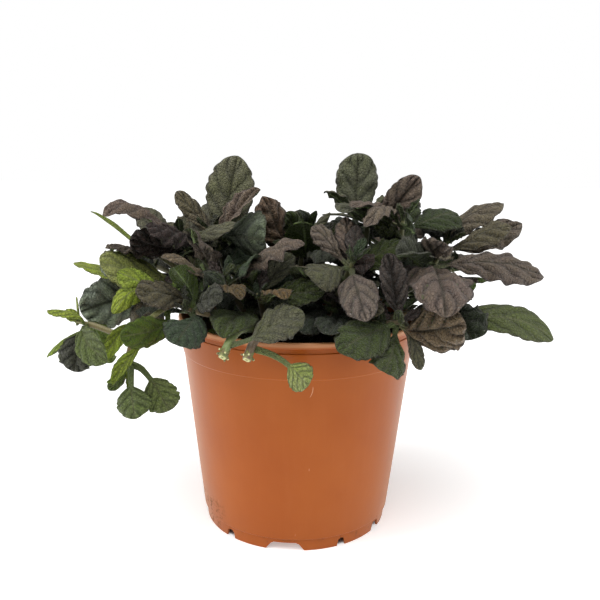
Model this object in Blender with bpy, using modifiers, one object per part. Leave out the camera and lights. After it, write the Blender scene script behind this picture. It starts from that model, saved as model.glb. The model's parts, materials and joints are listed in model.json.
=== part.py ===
# Potted bugleweed: a low, spreading plant with dark spoon-shaped leaves, grown in a thin
# tapered plastic nursery pot. Leafy shoots rise out of the potting mix, two cut flower
# stalks lie over the front of the rim, and a runner with young leaves hangs over the left.
# Every piece is its own solid. Leaves grow in tiers of two to four that clasp their stem
# with a small sleeve, and each leaf is turned until it is clear of all that stands already.

import math

import bmesh
import bpy
from mathutils import Matrix, Vector
from mathutils.bvhtree import BVHTree

# ------------------------------------------------------------------ driving sizes, metres

POT_HEIGHT = 0.115
RIM_RADIUS = 0.065           # outside of the rolled lip
LIP_HEIGHT = 0.003
LIP_ROUND = 0.0008
LIP_GROOVE = 0.0013          # how far the groove under the lip lies in from the lip
LIP_PROUD = 0.0006           # how far the lip stands out from the wall line
WALL_TAPER = 0.0131          # how much narrower the wall line is at the ground, in radius
WALL = 0.0012
BAND_DROP = 0.0056           # top of the stepped band, below the rim
BAND_HEIGHT = 0.0131
BAND_PROUD = 0.00045
FOOT_HEIGHT = 0.007
FOOT_STEP = 0.0012           # how far the foot skirt lies in from the wall line
FOOT_DRAFT = 0.0004
FLOOR_RISE = 0.005           # underside of the pot's floor, above the ground
NOTCH_HEIGHT = 0.0045
NOTCH_DEPTH = 0.0096
DRAIN_WIDTH = 0.005
DRAIN_LENGTH = 0.009
DRAIN_IN = 0.0063            # middle of a drain slot, in from the foot

MIX_BELOW_RIM = 0.0118       # potting mix surface at the wall, below the rim
MIX_CROWN = 0.0012           # how much higher the mix stands in the middle
ROOT_DEPTH = 0.010           # how far a stem goes down into the mix
SOCKET_FLARE = 0.0035        # how much the hole round a stem opens out above the mix
SOCKET_SIDES = 10

STEM_RADIUS = 0.0017
RUNNER_RADIUS = 0.0014
STALK_RADIUS = 0.0021        # the two cut flower stalks
BUD_TAPER = 0.45             # a growing tip's share of its stem's radius
SLEEVE_WALL = 0.0010         # the leaf bases' sleeve round a stem
SLEEVE_HEIGHT = 0.0028
LEAF_THICK = 0.0010          # at the midrib; the margins are sharp
LEAF_FOLD = 0.22             # how far the two halves rise either side of the midrib
LEAF_STALK = 0.2             # the stalk's share of a leaf's length
STALK_HALF = 0.0013          # half the width of a leaf's stalk
LEAF_SET_OFF = 0.6           # how squarely a leaf leaves its stem, before it heads for its tip
ARCH_HANDLES = 4 / 3         # a curve's middle rises three quarters as far as its handles

FIT_GAP = 0.0003             # between any two pieces that seat on or in each other
TURN_STEPS = 48              # facets round the pot and the mix
SLEEVE_SIDES = 12
STEM_POINT_SPACING = 0.009
ROUTE_STEPS = 24             # fine points on a stem's curve between two given ones

# Angles round the foot, in degrees from the front towards the right, with the notch's
# width at the ground. The same five come again on the other half.
NOTCHES = ((-42.5, 7.0), (-6.0, 23.0), (28.5, 5.5), (59.0, 9.0), (98.0, 6.0))
NOTCH_TAPER = 0.66           # width at the notch's top, as a share of its width below
WIDE_NOTCH = 10              # degrees; the narrower ones have a drain slot above them

# ------------------------------------------------------------------ the plant, millimetres
# A shoot is its root on the mix (x, y), the points its stem passes, and its leaf tiers,
# each at a share of the way along. A leaf is its tip, its width, the way its upper side
# looks and how high it arches. +X is to the right, -Y to the front. The plant is drawn on
# a pot of this radius and height at its rim; a wider pot holds a plant that much bigger.
DRAWN_RIM = 65
DRAWN_HEIGHT = 115
UP = (0, 0, 1)
FRONT = (0, -1, 0)
FRONT_UP = (0, -1, 1)
LOW_FRONT_UP = (0, -1, 2)
MOSTLY_UP = (0, -1, 4)
RIGHT_UP = (1, 0, 1)
BACK_UP = (0, 1, 2)
BACK = (0, 1, 0)


def leaf(tip, wide, face=UP, arch=3, stalk=LEAF_STALK):
    return {"tip": tip, "wide": wide, "face": face, "arch": arch, "stalk": stalk}


def spread(heading, reach, rise, wide, count=5):
    """A tier of leaves set round the stem by rule; each is turned on by an even step and
    every other one is a little longer and lower."""
    tier = []
    for k in range(count):
        long_one = k % 2
        tier.append({
            "heading": heading + k * 360 / count,
            "reach": reach * (1 + 0.15 * long_one),
            "rise": rise - 5 * long_one,
            "wide": wide - 2 * long_one,
            "face": UP,
            "arch": 4 + 2 * long_one,
            "stalk": LEAF_STALK,
        })
    return tier


SHOOTS = {
    "left_cut_stalk": {
        "root": (-15, -34), "radius": STALK_RADIUS, "cut": True,
        "path": [(-19, -40, 114), (-26, -56, 119.5), (-30, -66, 118.5), (-34, -75, 111)],
        "tiers": {0.9: [leaf((3, -72, 131), 24, LOW_FRONT_UP, 4, 0.42)]},
    },
    "right_cut_stalk": {
        "root": (-5, -36), "radius": STALK_RADIUS, "cut": True,
        "path": [(-8, -43, 114), (-15, -56, 119.5), (-19, -66, 118.5), (-23, -75, 110)],
        "tiers": {0.9: [leaf((5, -79, 99), 15, FRONT_UP, 7, 0.42)]},
    },
    "right_rim": {
        "root": (28, -28), "path": [(33, -32, 117), (44, -48, 121), (50, -56, 124)],
        "tiers": {
            1.0: [leaf((18, -81, 116), 24, FRONT_UP, 4), leaf((77, -70, 126), 27, FRONT, 5),
                  leaf((42, -82, 104), 18, FRONT, 4), leaf((60, -68, 100), 12, FRONT),
                  leaf((43, -44, 155), 17, FRONT, 1)],
        },
    },
    "left_rim": {
        "root": (-31, -27), "path": [(-35, -30, 117), (-47, -43, 124), (-55, -51, 128)],
        "tiers": {
            1.0: [leaf((-53, -80, 115), 21, FRONT), leaf((-76, -60, 138), 18, FRONT_UP, 4),
                  leaf((-58, -57, 149), 16, BACK, 2), leaf((-38, -64, 139), 16, FRONT_UP),
                  leaf((-82, -30, 122), 16)],
        },
    },
    "trailing_runner": {
        "root": (-40, -22), "radius": RUNNER_RADIUS,
        "path": [(-44, -22, 118), (-59, -42, 128), (-69, -60, 125), (-77, -66, 115),
                 (-79, -68, 101)],
        "tiers": {
            0.6: [leaf((-79, -58, 151), 15, FRONT_UP), leaf((-78, -87, 120), 18, FRONT, 3),
                  leaf((-88, -64, 134), 16, FRONT_UP)],
            0.78: [leaf((-95, -74, 104), 13, FRONT), leaf((-90, -84, 98), 10, FRONT_UP)],
            1.0: [leaf((-76, -81, 80), 16, FRONT, 2), leaf((-54, -72, 86), 17, FRONT)],
        },
    },
    "side_runner": {
        "from": (-79.2, -65.4, 117), "radius": RUNNER_RADIUS,
        "path": [(-86, -64, 119), (-96, -62, 122), (-104, -60, 123)],
        "tiers": {
            0.8: [leaf((-104, -68, 101), 18, FRONT, 5), leaf((-88, -84, 105), 24, FRONT),
                  leaf((-121, -54, 104), 10, UP, 5), leaf((-118, -58, 128), 10, UP, 2),
                  leaf((-94, -44, 98), 15)],
        },
    },
    "right_low": {
        "root": (37, -22), "path": [(44, -25, 117), (65, -30, 124), (79, -32, 128)],
        "tiers": {
            1.0: [leaf((128, -40, 112), 19, FRONT_UP, 9), leaf((89, -54, 112), 25, FRONT_UP, 5),
                  leaf((60, -46, 139), 18, FRONT_UP), leaf((94, -4, 136), 17),
                  leaf((86, -46, 140), 11, FRONT_UP, 2)],
        },
    },
    "left_outer": {
        "root": (-45, 14), "path": [(-48, 13, 116), (-68, 10, 137), (-82, 6, 148)],
        "tiers": {
            0.6: [leaf((-101, -30, 143), 28, FRONT_UP, 4), leaf((-84, 50, 156), 20, UP, 5),
                  leaf((-60, -20, 134), 18), leaf((-112, 14, 130), 18)],
            1.0: [leaf((-100, -18, 152), 16, UP, 5), leaf((-120, 30, 166), 13),
                  leaf((-74, -3, 164), 14, RIGHT_UP, 2),
                  leaf((-90, 38, 168), 18)],
        },
    },
    "left_low": {
        "root": (-49, 0), "path": [(-53, 0, 116), (-75, -6, 130), (-92, -10, 133)],
        "tiers": {
            1.0: [leaf((-109, -36, 122), 26, FRONT, 4), leaf((-106, -2, 144), 19, FRONT_UP, 3),
                  leaf((-125, 22, 138), 15), leaf((-82, -42, 120), 19, FRONT_UP),
                  leaf((-96, 28, 126), 18)],
        },
    },
    "left_upright": {
        "root": (-33, 9), "path": [(-36, 6, 120), (-41, -2, 143), (-46, -8, 161)],
        "tiers": {
            0.5: [leaf((-72, -34, 149), 21, LOW_FRONT_UP), leaf((-18, 30, 168), 20, UP, 6),
                  leaf((-60, 36, 158), 19)],
            1.0: [leaf((-37, 4, 199), 24, FRONT, 1), leaf((-17, -30, 159), 27, FRONT),
                  leaf((-66, 4, 180), 14, FRONT_UP, 2), leaf((-21, -20, 184), 12, LOW_FRONT_UP, 2),
                  leaf((-52, 26, 172), 17)],
        },
    },
    "right_upright": {
        "root": (24, 16), "path": [(28, 16, 118), (36, 15, 145), (39, 15, 168)],
        "tiers": {
            0.6: [leaf((13, 52, 158), 20), leaf((48, -30, 154), 24, FRONT_UP, 4),
                  leaf((64, 46, 156), 20), leaf((4, 2, 150), 18)],
            1.0: [leaf((32, 22, 201), 24, FRONT, 1), leaf((63, 8, 191), 21, FRONT, 2),
                  leaf((14, 0, 181), 17, UP, 4), leaf((22, -22, 172), 20, MOSTLY_UP, 6),
                  leaf((70, 46, 172), 20, UP, 5)],
        },
    },
    "right_high": {
        "root": (36, 18), "path": [(42, 16, 118), (68, 10, 139), (83, 6, 155)],
        "tiers": {
            1.0: [leaf((113, -5, 164), 21, LOW_FRONT_UP, 5), leaf((113, 25, 176), 21, LOW_FRONT_UP, 5),
                  leaf((124, 14, 164), 18, FRONT_UP), leaf((64, -22, 150), 19, FRONT_UP),
                  leaf((88, 40, 166), 19)],
        },
    },
    "right_outer": {
        "root": (34, -10), "path": [(41, -11, 119), (63, -18, 136), (72, -22, 150)],
        "tiers": {
            0.6: [leaf((104, 8, 138), 20), leaf((52, -48, 128), 19, FRONT),
                  leaf((54, 18, 148), 18)],
            1.0: [leaf((65, -74, 136), 33, FRONT_UP, 9), leaf((129, -15, 139), 20, FRONT_UP, 7),
                  leaf((46, -50, 155), 18, FRONT_UP), leaf((74, -32, 165), 17, FRONT, 3),
                  leaf((100, 8, 156), 20)],
        },
    },
    "centre_left": {
        "root": (-25, -13), "path": [(-27, -16, 116), (-33, -26, 129), (-38, -33, 140)],
        "tiers": {
            0.5: [leaf((-34, -71, 122), 24, FRONT_UP, 11), leaf((-47, -60, 131), 16, FRONT_UP),
                  leaf((2, -46, 136), 17, FRONT_UP)],
            1.0: [leaf((-66, -54, 150), 15, MOSTLY_UP, 6), leaf((3, -44, 159), 18, MOSTLY_UP, 8),
                  leaf((-42, 10, 157), 17), leaf((-35, -68, 140), 12, UP),
                  leaf((-22, -50, 153), 17, FRONT_UP)],
        },
    },
    "centre": {
        "root": (12, -16), "path": [(16, -20, 119), (23, -31, 137), (27, -38, 151)],
        "tiers": {
            0.5: [leaf((-2, -64, 123), 18, FRONT_UP, 4), leaf((17, -74, 119), 19, FRONT_UP, 4),
                  leaf((-4, -56, 137), 17, UP, 4), leaf((57, -14, 126), 17),
                  leaf((42, -60, 129), 18, FRONT_UP)],
            1.0: [leaf((30, -73, 131), 21, FRONT, 5), leaf((5, -56, 145), 20, FRONT_UP),
                  leaf((54, -26, 158), 18, FRONT_UP), leaf((6, -34, 166), 15, FRONT_UP),
                  leaf((24, -12, 171), 15)],
        },
    },
    "left_arching": {
        "root": (-36, -6), "path": [(-40, -6, 121), (-56, -2, 142), (-65, 0, 156)],
        "tiers": {
            1.0: [leaf((-100, -32, 166), 19, MOSTLY_UP, 12), leaf((-42, -46, 153), 12, FRONT_UP, 2),
                  leaf((-84, -20, 160), 16, FRONT), leaf((-76, -32, 146), 18, FRONT_UP),
                  leaf((-62, 34, 164), 18)],
        },
    },
    "centre_front": {
        "root": (-16, -24), "path": [(-17, -30, 117), (-18, -38, 127), (-20, -44, 134)],
        "tiers": {
            1.0: [leaf((-6, -32, 156), 21, FRONT_UP), leaf((-32, -20, 153), 17, FRONT_UP),
                  leaf((-3, -69, 139), 14, UP), leaf((12, -42, 142), 17, FRONT_UP)],
        },
    },
    "right_inner": {
        "root": (36, 3), "path": [(42, 1, 120), (53, 0, 148), (56, 0, 168)],
        "tiers": {
            1.0: [leaf((34, -39, 167), 15, UP, 8), leaf((88, 16, 169), 25, LOW_FRONT_UP, 4),
                  leaf((57, -36, 152), 18, FRONT), leaf((26, -28, 172), 17, UP, 6),
                  leaf((62, 34, 174), 18)],
        },
    },
    "centre_back": {
        "root": (1, 22), "path": [(1, 20, 116), (1, 11, 134), (2, 6, 150)],
        "tiers": {
            1.0: [leaf((-20, 2, 178), 21, FRONT_UP, 6), leaf((4, -20, 167), 22, BACK_UP, 5),
                  leaf((28, -13, 171), 17, UP, 6), leaf((20, 34, 160), 20),
                  leaf((-24, 32, 158), 19)],
        },
    },
    "back_far_left": {
        "root": (-46, 27), "path": [(-54, 30, 118), (-76, 36, 130), (-90, 40, 134)],
        "tiers": {1.0: spread(170, 32, 6, 20)},
    },
    "back_left": {
        "root": (-28, 30), "path": [(-34, 38, 119), (-44, 48, 137), (-49, 54, 148)],
        "tiers": {0.5: spread(60, 38, 2, 19, 3), 1.0: spread(110, 32, 16, 21)},
    },
    "back_middle": {
        "root": (4, 38), "path": [(4, 45, 119), (3, 54, 136), (2, 58, 145)],
        "tiers": {1.0: spread(80, 30, 12, 21)},
    },
    "back_right": {
        "root": (26, 34), "path": [(34, 42, 119), (46, 51, 138), (52, 56, 150)],
        "tiers": {0.5: spread(100, 38, 2, 19, 3), 1.0: spread(65, 32, 16, 21)},
    },
    "back_far_right": {
        "root": (46, 27), "path": [(54, 30, 118), (78, 36, 130), (93, 40, 133)],
        "tiers": {1.0: spread(10, 32, 6, 20)},
    },
}

# Shares of the blade's length from the end of the leaf's stalk, and its half width there
# as a share of the widest: it opens out quickly, is broadest past the middle and blunt.
BLADE_OUTLINE = ((0.0, 0.16), (0.28, 0.78), (0.60, 1.0), (0.87, 0.68))

YOUNG_SHOOTS = ("trailing_runner", "side_runner")    # their leaves are still green

COLOURS = {
    "pot_plastic": ((0.45, 0.13, 0.045), 0.38),
    "potting_mix": ((0.020, 0.014, 0.010), 0.95),
    "stem_green": ((0.10, 0.085, 0.03), 0.55),
    "leaf_purple": ((0.06, 0.035, 0.045), 0.45),
    "leaf_green": ((0.12, 0.22, 0.04), 0.5),
}


# ------------------------------------------------------------------ scene and materials
def clear_scene():
    for old in list(bpy.data.objects):
        bpy.data.objects.remove(old, do_unlink=True)


def make_collection(name):
    collection = bpy.data.collections.new(name)
    bpy.context.scene.collection.children.link(collection)
    return collection


def make_material(name):
    colour, roughness = COLOURS[name]
    material = bpy.data.materials.new(name)
    material.use_nodes = True
    shader = material.node_tree.nodes["Principled BSDF"]
    shader.inputs["Base Color"].default_value = (*colour, 1.0)
    shader.inputs["Roughness"].default_value = roughness
    material.diffuse_color = (*colour, 1.0)
    return material


def add_object(name, data, collection, material=None):
    piece = bpy.data.objects.new(name, data)
    collection.objects.link(piece)
    if material:
        piece.data.materials.append(material)
    return piece


def mesh_from(name, verts, faces):
    mesh = bpy.data.meshes.new(name)
    mesh.from_pydata(verts, [], faces)
    return mesh


# ------------------------------------------------------------------ pot and potting mix
def wall_radius(height):
    """Outside of the tapering wall at a height."""
    return RIM_RADIUS - LIP_PROUD - WALL_TAPER * (1 - height / POT_HEIGHT)


def pot_profile():
    """From the middle of the floor, up the inside, over the lip and down the outside."""
    floor_top = FLOOR_RISE + WALL
    inner_top = wall_radius(POT_HEIGHT) - WALL
    lip_foot = POT_HEIGHT - LIP_HEIGHT
    band_top = POT_HEIGHT - BAND_DROP
    band_foot = band_top - BAND_HEIGHT
    groove = RIM_RADIUS - LIP_GROOVE
    foot_top = wall_radius(FOOT_HEIGHT) - FOOT_STEP
    foot_base = foot_top - FOOT_DRAFT
    return [
        (0, floor_top),
        (wall_radius(floor_top) - WALL, floor_top),
        (inner_top, POT_HEIGHT - LIP_ROUND),
        (inner_top + LIP_ROUND, POT_HEIGHT),
        (RIM_RADIUS - LIP_ROUND, POT_HEIGHT),
        (RIM_RADIUS, POT_HEIGHT - LIP_ROUND),
        (RIM_RADIUS, lip_foot + LIP_ROUND),
        (RIM_RADIUS - LIP_ROUND, lip_foot),
        (groove, lip_foot),
        (groove, band_top),
        (wall_radius(band_top) + BAND_PROUD, band_top - BAND_PROUD),
        (wall_radius(band_foot) + BAND_PROUD, band_foot),
        (wall_radius(band_foot), band_foot - BAND_PROUD),
        (wall_radius(FOOT_HEIGHT), FOOT_HEIGHT),
        (foot_top, FOOT_HEIGHT - FOOT_DRAFT),
        (foot_base, LIP_ROUND),
        (foot_base - LIP_ROUND / 2, 0),
        (foot_base - WALL, 0),
        (foot_base - WALL, FLOOR_RISE),
        (0, FLOOR_RISE),
    ]


def turned_piece(name, profile, collection, material):
    """A profile at +X turned once round Z."""
    verts = [(radius, 0, height) for radius, height in profile]
    edges = [(k, k + 1) for k in range(len(verts) - 1)]
    mesh = bpy.data.meshes.new(name)
    mesh.from_pydata(verts, edges, [])
    piece = add_object(name, mesh, collection, material)
    turn = piece.modifiers.new("turn", "SCREW")
    turn.steps = TURN_STEPS
    turn.render_steps = TURN_STEPS
    turn.use_merge_vertices = True
    turn.merge_threshold = 0.0001
    turn.use_smooth_shade = True
    return piece


def block(bm, width, depth, low, high, taper, centre, angle):
    """A block standing between two heights, tapering upwards in width, at a distance in
    front of the axis and then turned about it."""
    made = bmesh.ops.create_cube(bm, size=1.0)["verts"]
    for vert in made:
        share = vert.co.z + 0.5
        vert.co.x *= width * (1 + (taper - 1) * share)
        vert.co.y = vert.co.y * depth - centre
        vert.co.z = low + (high - low) * share
    bmesh.ops.rotate(bm, verts=made, matrix=Matrix.Rotation(math.radians(angle), 3, "Z"))


def make_cutter(name, bm, collection):
    mesh = bpy.data.meshes.new(name)
    bm.to_mesh(mesh)
    bm.free()
    cutter = add_object(name, mesh, collection)
    cutter.hide_render = True
    cutter.display_type = "WIRE"
    return cutter


def cut_away(piece, cutter):
    cut = piece.modifiers.new("cut_" + cutter.name, "BOOLEAN")
    cut.object = cutter
    cut.operation = "DIFFERENCE"
    cut.solver = "EXACT"


def make_pot(parts, cutters, materials):
    pot = turned_piece("pot", pot_profile(), parts, materials["pot_plastic"])
    foot = wall_radius(FOOT_HEIGHT) - FOOT_STEP
    notch_tool = bmesh.new()
    drain_tool = bmesh.new()
    below = -NOTCH_HEIGHT
    for half in (0, 180):
        for angle, degrees in NOTCHES:
            width = 2 * foot * math.sin(math.radians(degrees / 2))
            full = NOTCH_HEIGHT - below
            # the cutter starts below the ground, where it is wider by the same slope
            base = width * (1 + (1 - NOTCH_TAPER))
            block(notch_tool, base, NOTCH_DEPTH, below, NOTCH_HEIGHT,
                  width * NOTCH_TAPER / base, foot - WALL, angle + half)
            if degrees < WIDE_NOTCH:
                block(drain_tool, DRAIN_WIDTH, DRAIN_LENGTH, FLOOR_RISE - WALL,
                      FLOOR_RISE + 2 * WALL, 1.0, foot - WALL - DRAIN_IN, angle + half)
    cut_away(pot, make_cutter("notch_tool", notch_tool, cutters))
    cut_away(pot, make_cutter("drain_tool", drain_tool, cutters))
    pot.data.shade_smooth()
    return pot


def mix_surface(radius):
    """Height of the potting mix at a distance from the middle."""
    share = radius / wall_radius(POT_HEIGHT)
    return POT_HEIGHT - MIX_BELOW_RIM + MIX_CROWN * (1 - share * share)


def mix_profile():
    low = FLOOR_RISE + WALL + FIT_GAP
    rim_height = mix_surface(wall_radius(POT_HEIGHT))
    edge = wall_radius(rim_height) - WALL - FIT_GAP
    return [
        (0, mix_surface(0)),
        (edge / 2, mix_surface(edge / 2)),
        (edge, rim_height),
        (wall_radius(low) - WALL - FIT_GAP, low),
        (0, low),
    ]


def make_mix(parts, cutters, materials, stems):
    mix = turned_piece("potting_mix", mix_profile(), parts, materials["potting_mix"])
    tool = bmesh.new()
    for stem in stems.values():
        if stem["rooted"]:
            foot = stem["points"][0]
            tall = ROOT_DEPTH + MIX_BELOW_RIM
            place = Matrix.Translation((foot.x, foot.y, foot.z - FIT_GAP + tall / 2))
            bmesh.ops.create_cone(tool, cap_ends=True, segments=SOCKET_SIDES, depth=tall, matrix=place,
                                  radius1=stem["radius"] + 2 * FIT_GAP,
                                  radius2=stem["radius"] + SOCKET_FLARE)
    cut_away(mix, make_cutter("socket_tool", tool, cutters))
    return mix


# ------------------------------------------------------------------ stems
def smooth_route(corners):
    """Points at an even spacing along a smooth curve through the given ones."""
    padded = [2 * corners[0] - corners[1], *corners, 2 * corners[-1] - corners[-2]]
    dense = []
    for k in range(1, len(padded) - 2):
        a, b, c, d = padded[k - 1:k + 3]
        for step in range(ROUTE_STEPS):
            t = step / ROUTE_STEPS
            dense.append(0.5 * (2 * b + (c - a) * t + (2 * a - 5 * b + 4 * c - d) * t * t
                                + (3 * b - a - 3 * c + d) * t ** 3))
    dense.append(corners[-1])
    length = sum((q - p).length for p, q in zip(dense, dense[1:]))
    count = max(3, round(length / STEM_POINT_SPACING))
    return [point_along(dense, k / count)[0] for k in range(count + 1)]


def point_along(points, share):
    """The point at a share of a line's length, and the line's direction there."""
    lengths = [(q - p).length for p, q in zip(points, points[1:])]
    left = share * sum(lengths)
    for k, length in enumerate(lengths):
        if left <= length or k == len(lengths) - 1:
            way = points[k + 1] - points[k]
            return points[k] + way * (left / length), way.normalized()
        left -= length


def grown(drawn):
    """A drawn length of the plant, in metres."""
    return drawn * RIM_RADIUS / DRAWN_RIM


def plant_place(x, y, z=0):
    """A drawn place, moved with the real pot's rim."""
    return Vector((grown(x), grown(y), POT_HEIGHT + grown(z - DRAWN_HEIGHT)))


def plan_stem(shoot):
    corners = [plant_place(*p) for p in shoot["path"]]
    radius = shoot.get("radius", STEM_RADIUS)
    if "root" in shoot:
        foot = plant_place(*shoot["root"])
        top = mix_surface(math.hypot(foot.x, foot.y))
        foot.z = top - ROOT_DEPTH
        corners = [foot, Vector((foot.x, foot.y, top + radius))] + corners
    else:
        corners = [plant_place(*shoot["from"])] + corners
    return {"points": smooth_route(corners), "radius": radius, "rooted": "root" in shoot}


def make_stem(name, stem, cut_end, parts, material):
    curve = bpy.data.curves.new(name, "CURVE")
    curve.dimensions = "3D"
    curve.bevel_depth = stem["radius"]
    curve.bevel_resolution = 1
    curve.use_fill_caps = True
    spline = curve.splines.new("POLY")
    points = stem["points"]
    spline.points.add(len(points) - 1)
    for k, place in enumerate(points):
        spline.points[k].co = (*place, 1.0)
        spline.points[k].radius = 1.0
    if not cut_end:
        spline.points[-1].radius = BUD_TAPER
    return add_object(name, curve, parts, material)


# ------------------------------------------------------------------ leaves
def leaf_tip(row, start):
    """Where a leaf ends, from its own tip point or from its heading and reach."""
    if "tip" in row:
        return plant_place(*row["tip"])
    turn = math.radians(row["heading"])
    reach = grown(row["reach"])
    return start + Vector((math.cos(turn) * reach, math.sin(turn) * reach, grown(row["rise"])))


def leaf_rings(base, out, tip, row, extra=0.0, foot=True):
    """Four-cornered rings along a leaf: left margin, top, right margin, bottom. An extra
    swells the leaf by that much all round, and the foot is a ring close to the sleeve."""
    way = tip - base
    length = way.length
    way.normalize()
    face = Vector(row["face"]).normalized()
    lift = face * grown(row["arch"]) * ARCH_HANDLES
    handles = (base,
               base + out.lerp(way, 1 - LEAF_SET_OFF) * length / 3 + lift * LEAF_SET_OFF,
               tip - way * length / 3 + lift, tip)
    half_wide = grown(row["wide"]) / 2
    rings = []
    stalk = row["stalk"]
    stations = [(0.03, 0.0), (stalk / 2, 0.0)] if foot else [(stalk / 2, 0.0)]
    stations += [(stalk + t * (1 - stalk), share) for t, share in BLADE_OUTLINE]
    for t, share in stations + [(1.0, 0.0)]:
        s = 1 - t
        place = (handles[0] * s ** 3 + handles[1] * 3 * s * s * t
                 + handles[2] * 3 * s * t * t + handles[3] * t ** 3)
        run = ((handles[1] - handles[0]) * s * s + (handles[2] - handles[1]) * 2 * s * t
               + (handles[3] - handles[2]) * t * t).normalized()
        normal = face - run * face.dot(run)
        if normal.length < 0.25:
            normal = out - run * out.dot(run)
        normal.normalize()
        if t == 1.0:
            rings.append([place + run * extra])
            continue
        side = run.cross(normal)
        half = max(STALK_HALF, half_wide * share) + extra
        raised = normal * half * LEAF_FOLD
        thick = normal * (LEAF_THICK / 2 + extra)
        rings.append([place - side * half + raised, place + thick,
                      place + side * half + raised, place - thick])
    return rings


def ring_mesh(rings):
    """Vertices and faces of the closed strip that joins the rings, its tip included."""
    verts = [corner for ring in rings for corner in ring]
    faces = [(3, 2, 1, 0)]
    for k in range(len(rings) - 2):
        a, b = 4 * k, 4 * k + 4
        faces += [(a + i, a + (i + 1) % 4, b + (i + 1) % 4, b + i) for i in range(4)]
    last = 4 * (len(rings) - 2)
    faces += [(last + i, last + (i + 1) % 4, last + 4) for i in range(4)]
    return verts, faces


class Space:
    """What stands already, so that the next leaf can be kept clear of it."""

    def __init__(self):
        self.taken = []

    def add(self, verts, faces, owner=None):
        low = Vector([min(v[i] for v in verts) for i in range(3)])
        high = Vector([max(v[i] for v in verts) for i in range(3)])
        self.taken.append((BVHTree.FromPolygons(verts, faces), low, high, owner))

    def meets(self, verts, faces, but=None):
        low = [min(v[i] for v in verts) for i in range(3)]
        high = [max(v[i] for v in verts) for i in range(3)]
        tree = BVHTree.FromPolygons(verts, faces)
        for other, other_low, other_high, owner in self.taken:
            apart = any(low[i] > other_high[i] or high[i] < other_low[i] for i in range(3))
            apart = apart or (but and owner == but)
            if not apart and tree.overlap(other):
                return True
        return False


def turned_ways():
    """Small turns to try, nearest to none first: yaw and pitch in degrees, and length."""
    for length in (1.0, 0.85, 0.7, 0.55, 0.4):
        yield 0.0, 0.0, length
        for size in range(5, 71, 5):
            for k in range(8):
                angle = math.radians(45 * k)
                yield size * math.cos(angle), size * math.sin(angle), length


def clear_leaf(row, start, base, out, space, shoot):
    """Where a leaf's tip goes so that the leaf is clear of everything in the space. Only
    its foot, which grows out of the sleeve, may be near its own shoot."""
    wanted = leaf_tip(row, start) - base
    level = Vector((wanted.y, -wanted.x, 0))
    if level.length < 1e-6:
        level = Vector((1, 0, 0))
    level.normalize()
    for yaw, pitch, share in turned_ways():
        turn = (Matrix.Rotation(math.radians(yaw), 3, "Z")
                @ Matrix.Rotation(math.radians(pitch), 3, level))
        tip = base + (turn @ wanted) * share
        fat = leaf_rings(base, out, tip, row, FIT_GAP)
        if not (space.meets(*ring_mesh(fat), but=shoot) or space.meets(*ring_mesh(fat[1:]))):
            return tip
    return None


def sleeve_frame(axis, first_way):
    """Two directions square to the stem, the first towards the first leaf."""
    ahead = first_way - axis * first_way.dot(axis)
    if ahead.length < 1e-5:
        ahead = axis.orthogonal()
    ahead.normalize()
    return ahead, axis.cross(ahead)


def sides_by_way(way, ahead, across, used):
    """The sleeve's free sides with the way each looks, the one most nearly along a leaf's
    way first. Every other side stays plain, so that no two leaves grow side by side."""
    free = []
    for k in range(0, SLEEVE_SIDES, 2):
        angle = 2 * math.pi * k / SLEEVE_SIDES
        out = ahead * math.cos(angle) + across * math.sin(angle)
        if k not in used:
            free.append((k, out))
    return sorted(free, key=lambda side: -way.dot(side[1]))


def plan_sleeve(stem, share, rows):
    """The sleeve that clasps a stem: its place, its directions and its plain faces."""
    near_tip = (SLEEVE_HEIGHT / 2 + 2 * stem["radius"]) / path_length(stem["points"])
    start, axis = point_along(stem["points"], min(share, 1 - near_tip))
    inner = stem["radius"] + FIT_GAP
    outer = inner + SLEEVE_WALL
    ahead, across = sleeve_frame(axis, leaf_tip(rows[0], start) - start)
    step = 2 * math.pi / SLEEVE_SIDES
    stretch = 1 / math.cos(step / 2)
    verts = []
    for reach in (inner, outer):
        for level in (-0.5, 0.5):
            for k in range(SLEEVE_SIDES):
                angle = step * (k - 0.5)
                spoke = ahead * math.cos(angle) + across * math.sin(angle)
                verts.append(start + spoke * reach * stretch + axis * level * SLEEVE_HEIGHT)
    n = SLEEVE_SIDES
    in_low, in_high, out_low, out_high = 0, n, 2 * n, 3 * n
    faces = []
    sides = {}
    for k in range(n):
        m = (k + 1) % n
        faces.append((in_low + k, in_low + m, in_high + m, in_high + k))
        faces.append((in_low + k, out_low + k, out_low + m, in_low + m))
        faces.append((in_high + k, in_high + m, out_high + m, out_high + k))
        sides[k] = (out_low + k, out_low + m, out_high + m, out_high + k)
    return {"start": start, "outer": outer, "ahead": ahead, "across": across,
            "verts": verts, "faces": faces, "sides": sides}


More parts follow.
